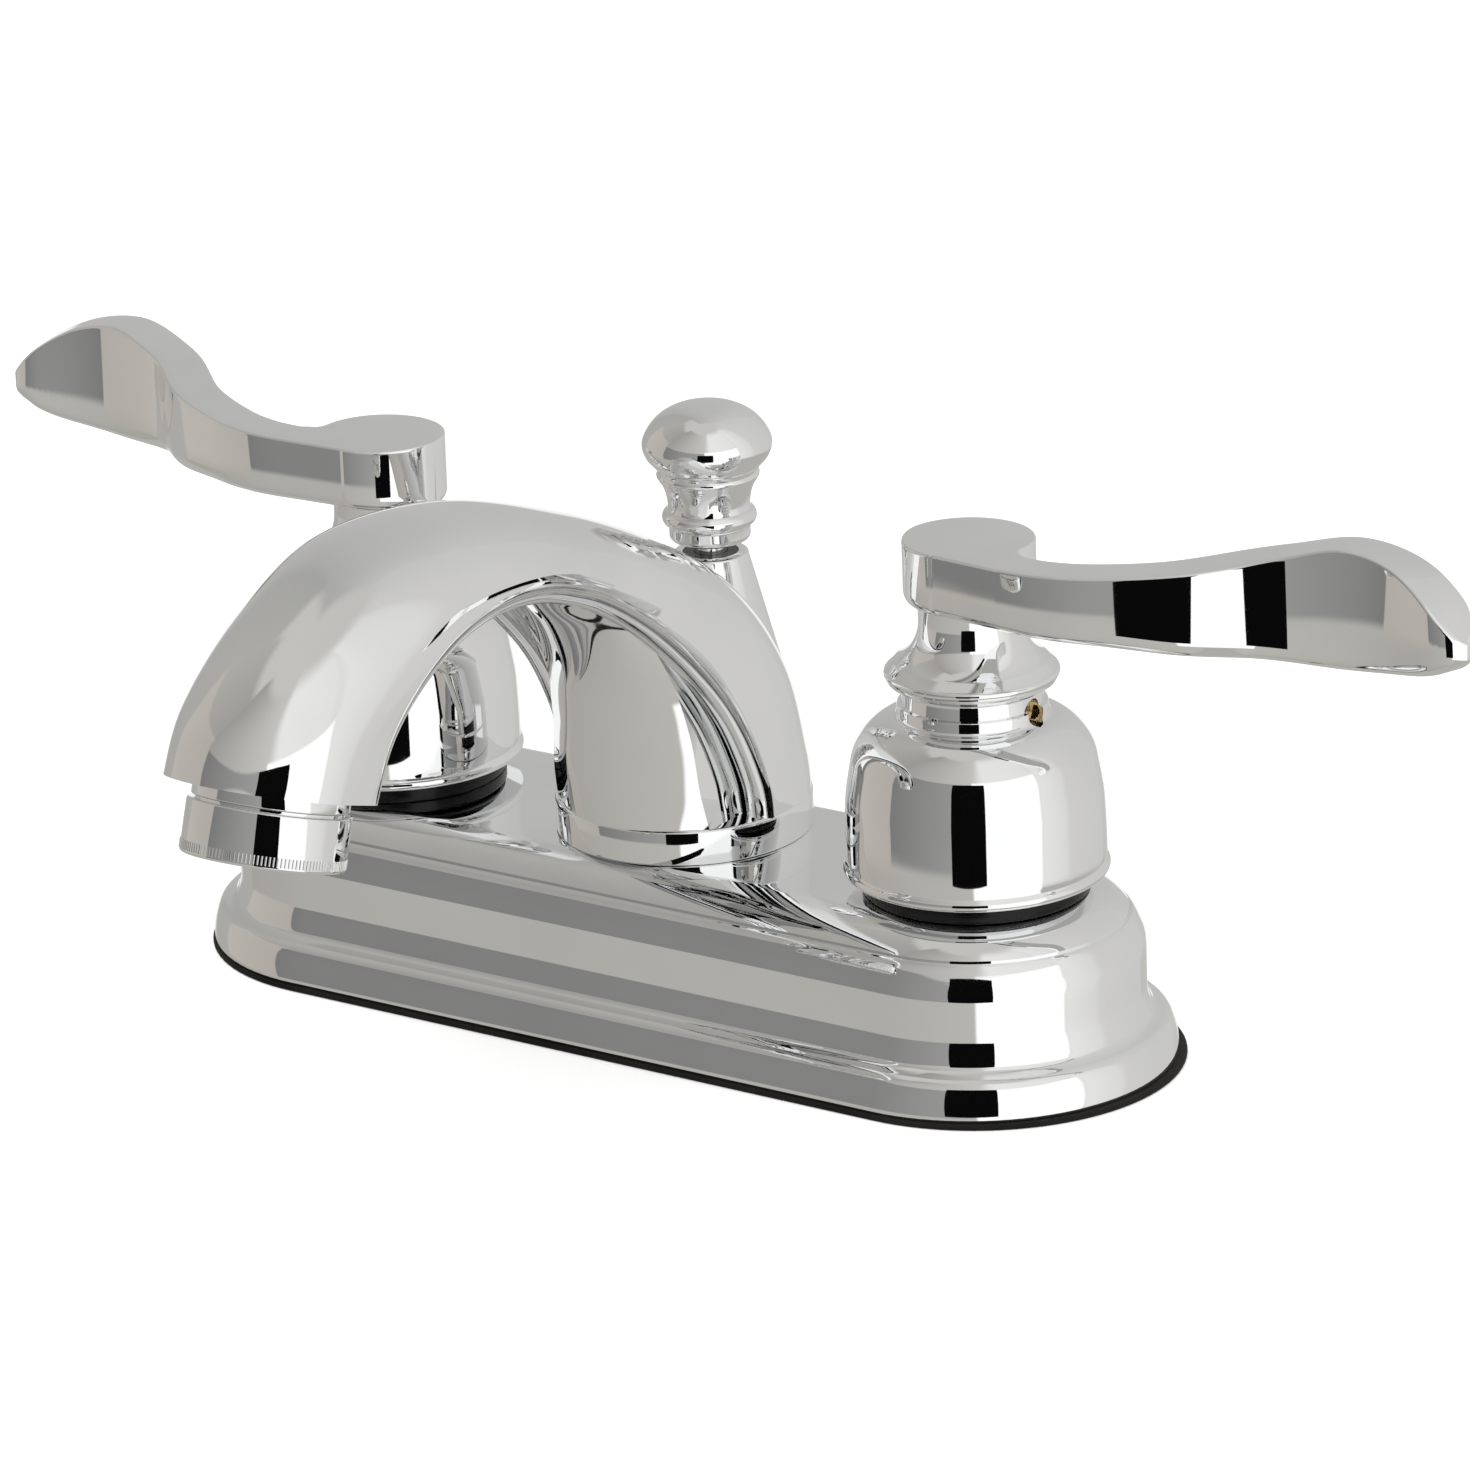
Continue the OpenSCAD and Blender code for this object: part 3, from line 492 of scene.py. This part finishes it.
# Cuts across the arch: crown [y, z], lower edge [y, z], half width, depth of the rounded crown,
# depth of the web in the middle and at its edges, size of the roll against the largest
STATIONS = [
    (-110.2, 60.5, -90.3, 53.8, 14.1, 13.0, 16.0, 15.5, 0.6),
    (-108.6, 65.5, -88.9, 58.8, 14.2, 13.6, 16.0, 15.5, 0.6),
    (-103.5, 74.0, -83.9, 67.1, 14.4, 14.0, 14.0, 13.3, 0.8),
    (-90.4, 83.4, -75.5, 73.4, 14.9, 13.6, 12.0, 11.2, 0.95),
    (-71.9, 90.0, -64.6, 77.0, 15.3, 11.2, 10.5, 9.5, 1),
    (-50.0, 88.6, -52.1, 76.6, 15.6, 8.9, 9.2, 8.2, 1),
    (-29.7, 82.0, -39.6, 72.3, 15.8, 10.6, 10.5, 9.3, 1),
    (-11.5, 73.7, -27.6, 64.8, 16.2, 13.5, 18.5, 15.3, 0.95),
    (4.0, 64.0, -16.7, 54.9, 16.8, 15.2, 26.3, 22.6, 0.9),
    (14.0, 50.8, -9.7, 45.7, 17.6, 16.0, 32.6, 28.3, 0.85),
    (18.3, 36.6, -5.2, 36.1, 18.05, 16.6, 35.8, 31.0, 0.8),
    (19.3, 30.0, -4.2, 30.0, 18.2, 17.0, 36.5, 30.6, 0.75),
]


def spout_cut(row):
    """One cut across the arch: the crown, the two rolled edges and the web between them."""
    cy, cz, ry, rz, w, crown, web, edge, roll = row
    h = math.hypot(ry - cy, rz - cz)
    dy, dz = (ry - cy) / h, (rz - cz) / h
    r = min(ROLL_R * roll, h - crown - 0.1)
    inner = w - 2 * r
    foot = min(edge, h - r - 0.5)
    half = [(w * math.sin(math.radians(90 * i / 28)),
             crown * (1 - math.cos(math.radians(90 * i / 28)))) for i in range(29)]
    half += line((w, crown), (w, h - r), 4)
    half += [(w - r + r * math.cos(math.pi * i / 18), h - r + r * math.sin(math.pi * i / 18))
             for i in range(19)]
    half += line((inner, h - r), (inner - 0.05, foot), 4)
    half += [(inner - 0.05, foot)]
    half += [((inner - 0.5) * t, web - (web - edge) * t * t)
             for t in (i / 14 for i in range(14, -1, -1))]
    full = half + [(-x, d) for x, d in half[-2:0:-1]]
    return [(x, cy + d * dy, cz + d * dz) for x, d in full]


def trim_nose(arch):
    """Cuts the arch's nose off level with the outlet's rim; the column behind is left whole."""
    bm = bmesh.new()
    bm.from_mesh(arch.data)
    nose = [f for f in bm.faces if f.calc_center_median().y < -60 * MM]
    near = list({v for f in nose for v in f.verts}) + list({e for f in nose for e in f.edges})
    cut = bmesh.ops.bisect_plane(bm, geom=near + nose, plane_co=OUTLET @ Vector((0, 0, TIP_H * MM)),
                                 plane_no=OUT_AXIS, clear_inner=True)
    edges = [e for e in cut["geom_cut"] if isinstance(e, bmesh.types.BMEdge)]
    bmesh.ops.contextual_create(bm, geom=edges)
    bm.to_mesh(arch.data)
    bm.free()


def spout():
    arch = tidy_mesh(loft("arch", [spout_cut(s) for s in smooth(STATIONS, 10)]), 40)
    trim_nose(arch)
    tidy_mesh(arch, 40)
    at_foot, at_rod, at_inlet = (shifted(0, y, 0) for y in (PAD_BACK, ROD_BACK, INLET_Y))
    foot = turned("foot", [(0, DECK_Z)] + arc(PAD_R - 0.3, DECK_Z + 0.3, 0.3, -90, 0, 3)
                  + arc(PAD_R - 0.5, DECK_Z + PAD_H - 0.5, 0.5, 0, 90, 5) + [(0, DECK_Z + PAD_H)])
    boss = turned("rod_boss", [(0, BOSS_LOW), (BOSS_R + BOSS_FLARE, BOSS_LOW),
                               (BOSS_R + 0.12, BOSS_TOP - 0.5)]
                  + arc(BOSS_R - 0.3, BOSS_TOP - 0.4, 0.4, 0, 90, 4) + [(0, BOSS_TOP)])
    boss_r = OUTLET_R - RIM_OUT
    outlet = turned("outlet_boss", [(0, 0.35)] + arc(boss_r - 0.3, 0.65, 0.3, -90, 0, 3)
                    + [(boss_r, 9.5), (0, 9.5)])
    boolean(arch, [moved(foot, at_foot), moved(boss, at_rod), moved(outlet, OUTLET)], "UNION")
    rod_way = turned("rod_way", [(0, DECK_Z - 2), (ROD_R + 0.7, DECK_Z - 2),
                                 (ROD_R + 0.7, BOSS_TOP - BUSH_H), (BUSH_R, BOSS_TOP - BUSH_H),
                                 (BUSH_R, 80), (0, 80)], segments=64)
    inlet = bar("inlet", INLET_R, DECK_Z - 2, INLET_TOP)
    socket = bar("socket", SOCKET_R + 0.05, -2, 8, 96)
    boolean(arch, [moved(rod_way, at_rod), moved(inlet, at_inlet), moved(socket, OUTLET)],
            "DIFFERENCE")
    arch.name = "spout_casting"
    return place(tidy_mesh(arch, 38, 0.002), "faucet_body", "chrome", "spout")


def aerator():
    lip_z = -AERATOR_H + 1.2
    outline = ([(INSERT_R - 0.8, -AERATOR_H + 0.2), (INSERT_R - 0.6, -AERATOR_H)]
               + arc(OUTLET_R - 0.5, -AERATOR_H + 0.5, 0.5, 270, 360, 6)
               + arc(OUTLET_R - 0.3, -0.3, 0.3, 0, 90, 4)
               + [(SOCKET_R, 0), (SOCKET_R, SOCKET_H), (INSERT_R + 0.05, SOCKET_H),
                  (INSERT_R + 0.05, lip_z), (INSERT_R - 0.8, lip_z)])
    shell = turned("aerator_shell", outline, segments=160)
    housing = smooth_faces(run_tree(shell, knurl_tree(CHROME), {"Count": KNURL_RIBS}), 32)
    return place(moved(housing, OUTLET), "faucet_body", "chrome", "aerator_housing")


# Lift rod

def knob_outline():
    """Radius and height over the knob's foot: foot, bead, waist, ring and crown."""
    return ([(0, 0), (4.6, 0)] + arc(4.9, 1, 1, 270, 360, 6) + arc(6.2, 2.1, 0.3, 180, 120, 3)
            + arc(5.6, 3.6, 1.25, 290, 430, 16)
            + [(5.95, 5.1), (5.98, 5.8), (6.08, 6.6), (6.25, 7.4), (6.5, 8.1), (6.85, 8.8),
               (7.1, 9.1)]
            + arc(6.8, 9.9, 0.65, 310, 410, 8)
            + smooth([(7.45, 11.0), (8.15, 11.75), (8.9, 12.7), (KNOB_R, 14.2), (9.15, 15.6),
                      (8.2, 17.2), (6.6, 18.7), (4.4, 19.8), (2.2, 20.2), (0, KNOB_H)], 6))


def lift_rod():
    at_rod = shifted(0, ROD_BACK, 0)
    knob = moved(turned("lift_knob_turned", knob_outline(), sharp=40),
                 shifted(0, ROD_BACK, KNOB_Z))
    place(knob, "lift_rod_and_knob", "chrome", "lift_knob")
    top = KNOB_Z + 6
    rod = turned("lift_rod_turned", [(0, ROD_LOW), (ROD_R - 0.5, ROD_LOW), (ROD_R, ROD_LOW + 0.5),
                                     (ROD_R, top), (0, top)], segments=64)
    place(moved(rod, at_rod), "lift_rod_and_knob", "chrome", "lift_rod")


# Handles

# The lever along its length, from the handle's axis: its middle seen from above (positive towards
# the back), and the height of its upper and its lower edge
LEVER_PLAN = [(0, -5.75), (7, -6.1), (13, -6.6), (18, -6.4), (24, -4.8), (34, 0.0), (44, 7.8),
              (54, 11.4), (64, 11.9), (LEVER_LEN, 8.6)]
LEVER_TOP = [(-12, HUB_TOP), (0, HUB_TOP), (11, 77.3), (18, 77.5), (28, 78.05), (38, 79.1),
             (47, 80.8), (56, 82.6), (65, 81.15), (72, 77.45), (77, 72.1)]
LEVER_LOW = [(-12, 67.7), (0, 67.7), (11, 67.7), (26, 67.4), (40, 65.8), (54, 64.8), (65, 65.65),
             (72, 67.45), (77, 70.8)]
LEVER_TIP = 5.0


def lever_width(u):
    tip = max(0.0, (u - LEVER_LEN + LEVER_TIP) / LEVER_TIP)
    return LEVER_T * math.sqrt(max(0.004, 1 - tip ** 2))


def lever_outline():
    """Pairs of points of the front and the back edge, from the hub to the tip, seen from above."""
    pairs = []
    for i in range(1, 30):
        a = math.radians(180 - 90 * i / 29)
        pairs.append(((HUB_R * math.cos(a), -HUB_R * math.sin(a)),
                      (HUB_R * math.cos(a), HUB_R * math.sin(a))))
    path = smooth(LEVER_PLAN, 14)
    edges = []
    for i, (u, v) in enumerate(path):
        a, b = path[max(0, i - 1)], path[min(len(path) - 1, i + 1)]
        d = math.hypot(b[0] - a[0], b[1] - a[1])
        nx, ny = -(b[1] - a[1]) / d, (b[0] - a[0]) / d
        w = lever_width(u) / 2
        edges.append(((u - nx * w, v - ny * w), (u + nx * w, v + ny * w)))
    start = next(i for i, e in enumerate(edges) if e[1][0] > HUB_R + 2.6)
    notch = arc(HUB_R + 1.75, -0.72, 1.75, 166, 262, 14)
    back = arc(0, 0, HUB_R, 90, -3, 30)[1:] + notch
    front_end, front_y = edges[start][0], edges[0][0][1]
    for i, p in enumerate(back):
        t = (i + 1) / (len(back) + 1)
        pairs.append(((front_end[0] * t, front_y + (front_end[1] - front_y) * t), p))
    return pairs + edges[start:]


def lever_section(front, back, top, low):
    """One cut across the lever: a crisp upper edge, a well rounded lower front edge."""
    w = math.hypot(front[0] - back[0], front[1] - back[1])
    h = top - low
    ex, ey = (back[0] - front[0]) / w, (back[1] - front[1]) / w
    small = min(0.45, w * 0.3, h * 0.2)
    big = min(2.6, w * 0.45, h * 0.35)
    rear = min(1.2, w * 0.3, h * 0.2)
    cut = (arc(big, big, big, 270, 180, 12) + arc(small, h - small, small, 180, 90, 5)
           + line((small, h), (w - small, h), 4) + arc(w - small, h - small, small, 90, 0, 5)
           + arc(w - rear, rear, rear, 0, -90, 8) + line((w - rear, 0), (big, 0), 4))
    return [(front[0] + ex * s, front[1] + ey * s, low + z) for s, z in cut]


def screw_way(turn):
    """The set screw's way, from the handle's axis outwards."""
    way = bar("screw_way", SCREW_R + 0.05, 0, 20, 40)
    return moved(way, shifted(0, 0, SCREW_Z) @ Matrix.Rotation(math.radians(turn), 4, "Y"))


def lever(side, body, name):
    tops, lows = smooth(LEVER_TOP, 12), smooth(LEVER_LOW, 12)
    rings = []
    for front, back in lever_outline():
        mid = (front[0] + back[0]) / 2
        rings.append(lever_section(front, back, value_at(tops, mid), value_at(lows, mid)))
    arm = tidy_mesh(loft("arm", rings), 40, 0.001)
    stem = turned("stem", [(0, STEM_LOW), (STEM_R - 0.4, STEM_LOW), (STEM_R, STEM_LOW + 0.4),
                           (STEM_R, NECK_Z), (10.0, NECK_Z), (10.3, NECK_Z + 0.15),
                           (DISC_R - 0.55, DISC_Z - 1.3)]
                  + arc(DISC_R - DISC_EDGE, DISC_Z - 0.1, DISC_EDGE, 330, 440, 9)
                  + arc(STEM_NECK_R + NECK_BOW, HUB_Z - 2.7, NECK_BOW, 244, 180, 24)
                  + [(STEM_NECK_R, HUB_Z - 0.4), (STEM_NECK_R + 0.25, HUB_Z + 0.3),
                     (0, HUB_Z + 0.3)], sharp=40)
    boolean(arm, [stem], "UNION")
    moved(arm, Matrix.Rotation(math.radians(-LEVER_TURN[side] * side), 4, "Z"))
    boolean(arm, [bar("bore", STEM_BORE, STEM_LOW - 1.5, NECK_Z), screw_way(90)], "DIFFERENCE")
    if side < 0:
        moved(arm, Matrix.Scale(-1, 4, (1, 0, 0)))
    moved(arm, shifted(side * HALF, 0, 0))
    arm.name = name + "_wave"
    return place(tidy_mesh(arm, 38, 0.001), body, "chrome", name)


# The bell's collar over its shoulder, radius and height
COLLAR = [(11.15, 51.52), (10.85, 51.72), (10.7, 52.0), (10.65, 52.3), (10.65, 53.2),
          (10.55, 53.4), (10.0, 53.55), (9.95, 53.8), (9.95, NECK_Z)]


def bell_outline():
    shoulder_in, shoulder_mid = BELL_R - BELL_ROUND - 1.4, NECK_Z - 11.9
    outside = (arc(BELL_R - BELL_RIM, BELL_Z + 1.3, BELL_RIM, 300, 412, 14)
               + smooth([(BELL_R - 0.5, BELL_Z + 2.3), (BELL_R - 0.42, BELL_Z + 3.6),
                         (BELL_R - 0.47, BELL_Z + 7), (BELL_R - 0.65, BELL_Z + 11.4),
                         (BELL_R - 1.02, BELL_Z + 14.2),
                         (shoulder_in + 7.98, shoulder_mid + 1.4)], 6)
               + arc(shoulder_in, shoulder_mid, BELL_ROUND, 12, 76, 28) + COLLAR)
    roof = shoulder_mid + BELL_ROUND - BELL_WALL
    wall_in = BELL_R - BELL_RIM - BELL_WALL
    inside = ([(STEM_R + 0.05, NECK_Z), (STEM_R + 0.05, roof), (9.9, roof - 0.1)]
              + arc(shoulder_in, shoulder_mid, BELL_ROUND - BELL_WALL, 80, 0, 12)
              + [(wall_in, BELL_Z + 11), (wall_in, BELL_Z + 2.1), (wall_in - 0.6, BELL_Z)])
    return outside + inside


def bell(side, body, name):
    obj = turned(name, bell_outline(), segments=180, sharp=30)
    boolean(obj, [screw_way(side * 90)], "DIFFERENCE")
    moved(obj, shifted(side * HALF, 0, 0))
    obj.name = name + "_turned"
    return place(tidy_mesh(obj, 30, 0.001), body, "chrome", name)


def skirt_ring(side, name):
    edge = RING_EDGE
    outline = ([(RING_IN, DECK_Z), (RING_R - edge, DECK_Z)]
               + arc(RING_R - edge, DECK_Z + edge, edge, -90, 0, 4)
               + arc(RING_R - edge, DECK_Z + RING_T - edge, edge, 0, 90, 4)
               + [(RING_IN, DECK_Z + RING_T)])
    obj = moved(turned(name + "_moulded", outline, BLACK), shifted(side * HALF, 0, 0))
    return place(obj, "faucet_body", "black_plastic", name)


# Supply shanks

THREAD = thread_tree(BRASS)


def shank(side, name):
    root_r, neck_r = SHANK_R - 0.9, SHANK_R - 0.3
    outline = [(SHANK_BORE, SHANK_LOW), (SHANK_R - 1.4, SHANK_LOW), (root_r, SHANK_LOW + 0.6),
               (root_r, SHANK_NECK - 1.2), (neck_r, SHANK_NECK - 0.6), (neck_r, SHANK_TOP),
               (SHANK_BORE, SHANK_TOP)]
    core = run_tree(turned(name + "_threaded", outline, BRASS, 96), THREAD,
                    {"Length": THREAD_LEN * MM, "Start height": THREAD_LOW * MM})
    smooth_faces(core, 30)
    return place(moved(core, shifted(side * HALF, 0, 0)), "faucet_body", "brass", name)


deck_plate()
gasket()
spout()
aerator()
lift_rod()
for side, hand in ((-1, "left"), (1, "right")):
    lever(side, hand + "_handle", hand + "_lever")
    bell(side, hand + "_handle", hand + "_bell")
    skirt_ring(side, hand + "_skirt_ring")
    shank(side, hand + "_shank")


# Floor, light and camera

def floor():
    """A white table, which polished metal sees through to the studio's own tones below it."""
    size = 3000
    corners = [(-size, -size, 0), (size, -size, 0), (size, size, 0), (-size, size, 0)]
    obj = new_object("floor", corners, [(0, 1, 2, 3)])
    mat = bpy.data.materials.new("white_table")
    mat.use_nodes = True
    nodes, links = mat.node_tree.nodes, mat.node_tree.links
    shader = nodes["Principled BSDF"]
    shader.inputs["Base Color"].default_value = (0.86, 0.86, 0.86, 1)
    shader.inputs["Roughness"].default_value = 0.9
    shader.inputs["Specular IOR Level"].default_value = 0.0
    shader.inputs["Emission Color"].default_value = (1, 1, 1, 1)
    light = nodes.new("ShaderNodeLightPath")
    glow = nodes.new("ShaderNodeMath")
    glow.operation = "MULTIPLY"
    glow.inputs[1].default_value = 0.3
    clear = nodes.new("ShaderNodeBsdfTransparent")
    either = nodes.new("ShaderNodeMixShader")
    links.new(light.outputs["Is Camera Ray"], glow.inputs[0])
    links.new(glow.outputs[0], shader.inputs["Emission Strength"])
    links.new(light.outputs["Is Glossy Ray"], either.inputs["Fac"])
    links.new(shader.outputs["BSDF"], either.inputs[1])
    links.new(clear.outputs["BSDF"], either.inputs[2])
    links.new(either.outputs["Shader"], nodes["Material Output"].inputs["Surface"])
    obj.data.materials.append(mat)


def black_card():
    """The dark card of the studio, in front on the right, which only the polished metal shows."""
    centre, away, bearing, wide, low, high = 55, 455, math.radians(26.5), 240, -130, 245
    across = Vector((math.cos(bearing), math.sin(bearing), 0)) * wide / 2
    mid = Vector((centre + away * math.sin(bearing), -away * math.cos(bearing), 0))
    corners = [mid - across + Vector((0, 0, low)), mid + across + Vector((0, 0, low)),
               mid + across + Vector((0, 0, high)), mid - across + Vector((0, 0, high))]
    obj = new_object("black_card", corners, [(0, 1, 2, 3)])
    mat = bpy.data.materials.new("black_card")
    mat.use_nodes = True
    nodes, links = mat.node_tree.nodes, mat.node_tree.links
    nodes.remove(nodes["Principled BSDF"])
    dark = nodes.new("ShaderNodeEmission")
    dark.inputs["Color"].default_value = (0.003, 0.003, 0.003, 1)
    links.new(dark.outputs["Emission"], nodes["Material Output"].inputs["Surface"])
    obj.data.materials.append(mat)
    obj.visible_camera = obj.visible_diffuse = obj.visible_shadow = False


# Cards and walls of the studio, laid over each other: bearings (0 in front, 90 on the right),
# heights over the horizon, width of the soft edge, all in degrees, and the tone at its left and
# right end
STUDIO = [
    (-185, -118, -22, 75, 8, (0.63, 0.625, 0.61), (0.46, 0.455, 0.44)),
    (-122, -92, -22, 60, 6, (0.43, 0.425, 0.41), (0.47, 0.46, 0.43)),
    (-96, -46, 28, 64, 6, (0.47, 0.46, 0.43), (0.39, 0.38, 0.36)),
    (-96, -46, -22, 34, 3, (0.56, 0.53, 0.48), (0.50, 0.47, 0.425)),
    (-48, 42, 22, 72, 5, (0.37, 0.36, 0.34), (0.66, 0.65, 0.62)),
    (92, 128, -24, 75, 8, (0.90, 0.90, 0.88), (0.74, 0.73, 0.71)),
    (122, 185, -24, 75, 8, (0.70, 0.69, 0.67), (0.63, 0.625, 0.61)),
    (-100, 42, -95, -19, 3, (0.42, 0.405, 0.37), (0.55, 0.535, 0.50)),
    (-47, 30, -18, 25, 1.5, (0.22, 0.22, 0.215), (0.38, 0.38, 0.37)),
    (36, 94, 20, 74, 14, (0.92, 0.92, 0.90), (0.86, 0.86, 0.84)),
    (30, 93, -40, 28, 3, (1.18, 1.18, 1.17), (1.18, 1.18, 1.17)),
    (-162, -128, -20, -6, 4, (0.95, 0.95, 0.94), (0.95, 0.95, 0.94)),
]


def studio():
    """The room that polished metal reflects; matt surfaces get a plain level of light."""
    world = bpy.data.worlds.new("studio")
    scene.world = world
    world.use_nodes = True
    nodes, links = world.node_tree.nodes, world.node_tree.links

    def maths(operation, a, b=None):
        node = nodes.new("ShaderNodeMath")
        node.operation = operation
        for socket, value in zip(node.inputs, (a, b)):
            if isinstance(value, (int, float)):
                socket.default_value = value
            elif value is not None:
                links.new(value, socket)
        return node.outputs[0]

    def step(value, low, high, kind="SMOOTHSTEP"):
        node = nodes.new("ShaderNodeMapRange")
        node.interpolation_type = kind
        node.inputs["From Min"].default_value = math.radians(low)
        node.inputs["From Max"].default_value = math.radians(high)
        links.new(value, node.inputs["Value"])
        return node.outputs["Result"]

    def between(value, low, high, soft):
        return maths("MULTIPLY", step(value, low - soft / 2, low + soft / 2),
                     step(value, high + soft / 2, high - soft / 2))

    def mixed(factor, a, b):
        node = nodes.new("ShaderNodeMix")
        node.data_type = "RGBA"
        links.new(factor, node.inputs[0])
        for socket, value in ((node.inputs[6], a), (node.inputs[7], b)):
            if isinstance(value, tuple):
                socket.default_value = (*value, 1)
            else:
                links.new(value, socket)
        return node.outputs[2]

    toward = nodes.new("ShaderNodeSeparateXYZ")
    links.new(nodes.new("ShaderNodeTexCoord").outputs["Generated"], toward.inputs[0])
    ahead = maths("MULTIPLY", toward.outputs["Y"], -1.0)
    bearing = maths("ARCTAN2", toward.outputs["X"], ahead)
    height = maths("ARCSINE", toward.outputs["Z"])
    tone = mixed(step(height, -30, 80), (0.48, 0.47, 0.44), (0.62, 0.605, 0.58))
    for left, right, low, high, soft, left_tone, right_tone in STUDIO:
        inside = maths("MULTIPLY", between(bearing, left, right, soft),
                       between(height, low, high, soft))
        card = mixed(step(bearing, left, right, "LINEAR"), left_tone, right_tone)
        tone = mixed(inside, tone, card)
    path = nodes.new("ShaderNodeLightPath")
    plain = mixed(path.outputs["Is Camera Ray"], (0.86, 0.86, 0.86), (1.0, 1.0, 1.0))
    links.new(mixed(path.outputs["Is Glossy Ray"], plain, tone),
              nodes["Background"].inputs["Color"])


def top_light():
    """A wide soft lamp over the faucet, which the polished metal doesn't show."""
    stand, target = Vector((0, -200, 1100)), Vector((0, -30, 40))
    data = bpy.data.lights.new("soft_top", "AREA")
    data.energy = 6.0
    data.shape = "RECTANGLE"
    data.size, data.size_y = 1.2, 1.2
    obj = bpy.data.objects.new("soft_top", data)
    scene.collection.objects.link(obj)
    turn = (stand - target).to_track_quat("Z", "Y").to_matrix().to_4x4()
    obj.matrix_world = shifted(*stand) @ turn
    obj.visible_glossy = False


# The photograph's camera: its place in millimetres, and the axes of its frame
CAMERA_PLACE = (666.54, -939.50, 445.47)
CAMERA_RIGHT = (0.82591, 0.56283, -0.03308)
CAMERA_UP = (-0.16170, 0.29267, 0.94244)
CAMERA_BACK = (0.54012, -0.77302, 0.33273)
SENSOR_MM, LENS_MM = 36.0, 208.36


def photo_camera():
    lens = bpy.data.cameras.new("camera")
    lens.sensor_width, lens.lens = SENSOR_MM, LENS_MM
    lens.clip_start, lens.clip_end = 0.05, 20.0
    camera = bpy.data.objects.new("camera", lens)
    scene.collection.objects.link(camera)
    turn = Matrix((CAMERA_RIGHT, CAMERA_UP, CAMERA_BACK)).transposed().to_4x4()
    camera.matrix_world = shifted(*CAMERA_PLACE) @ turn
    scene.camera = camera


floor()
black_card()
studio()
top_light()
photo_camera()
scene.view_settings.view_transform = "Standard"
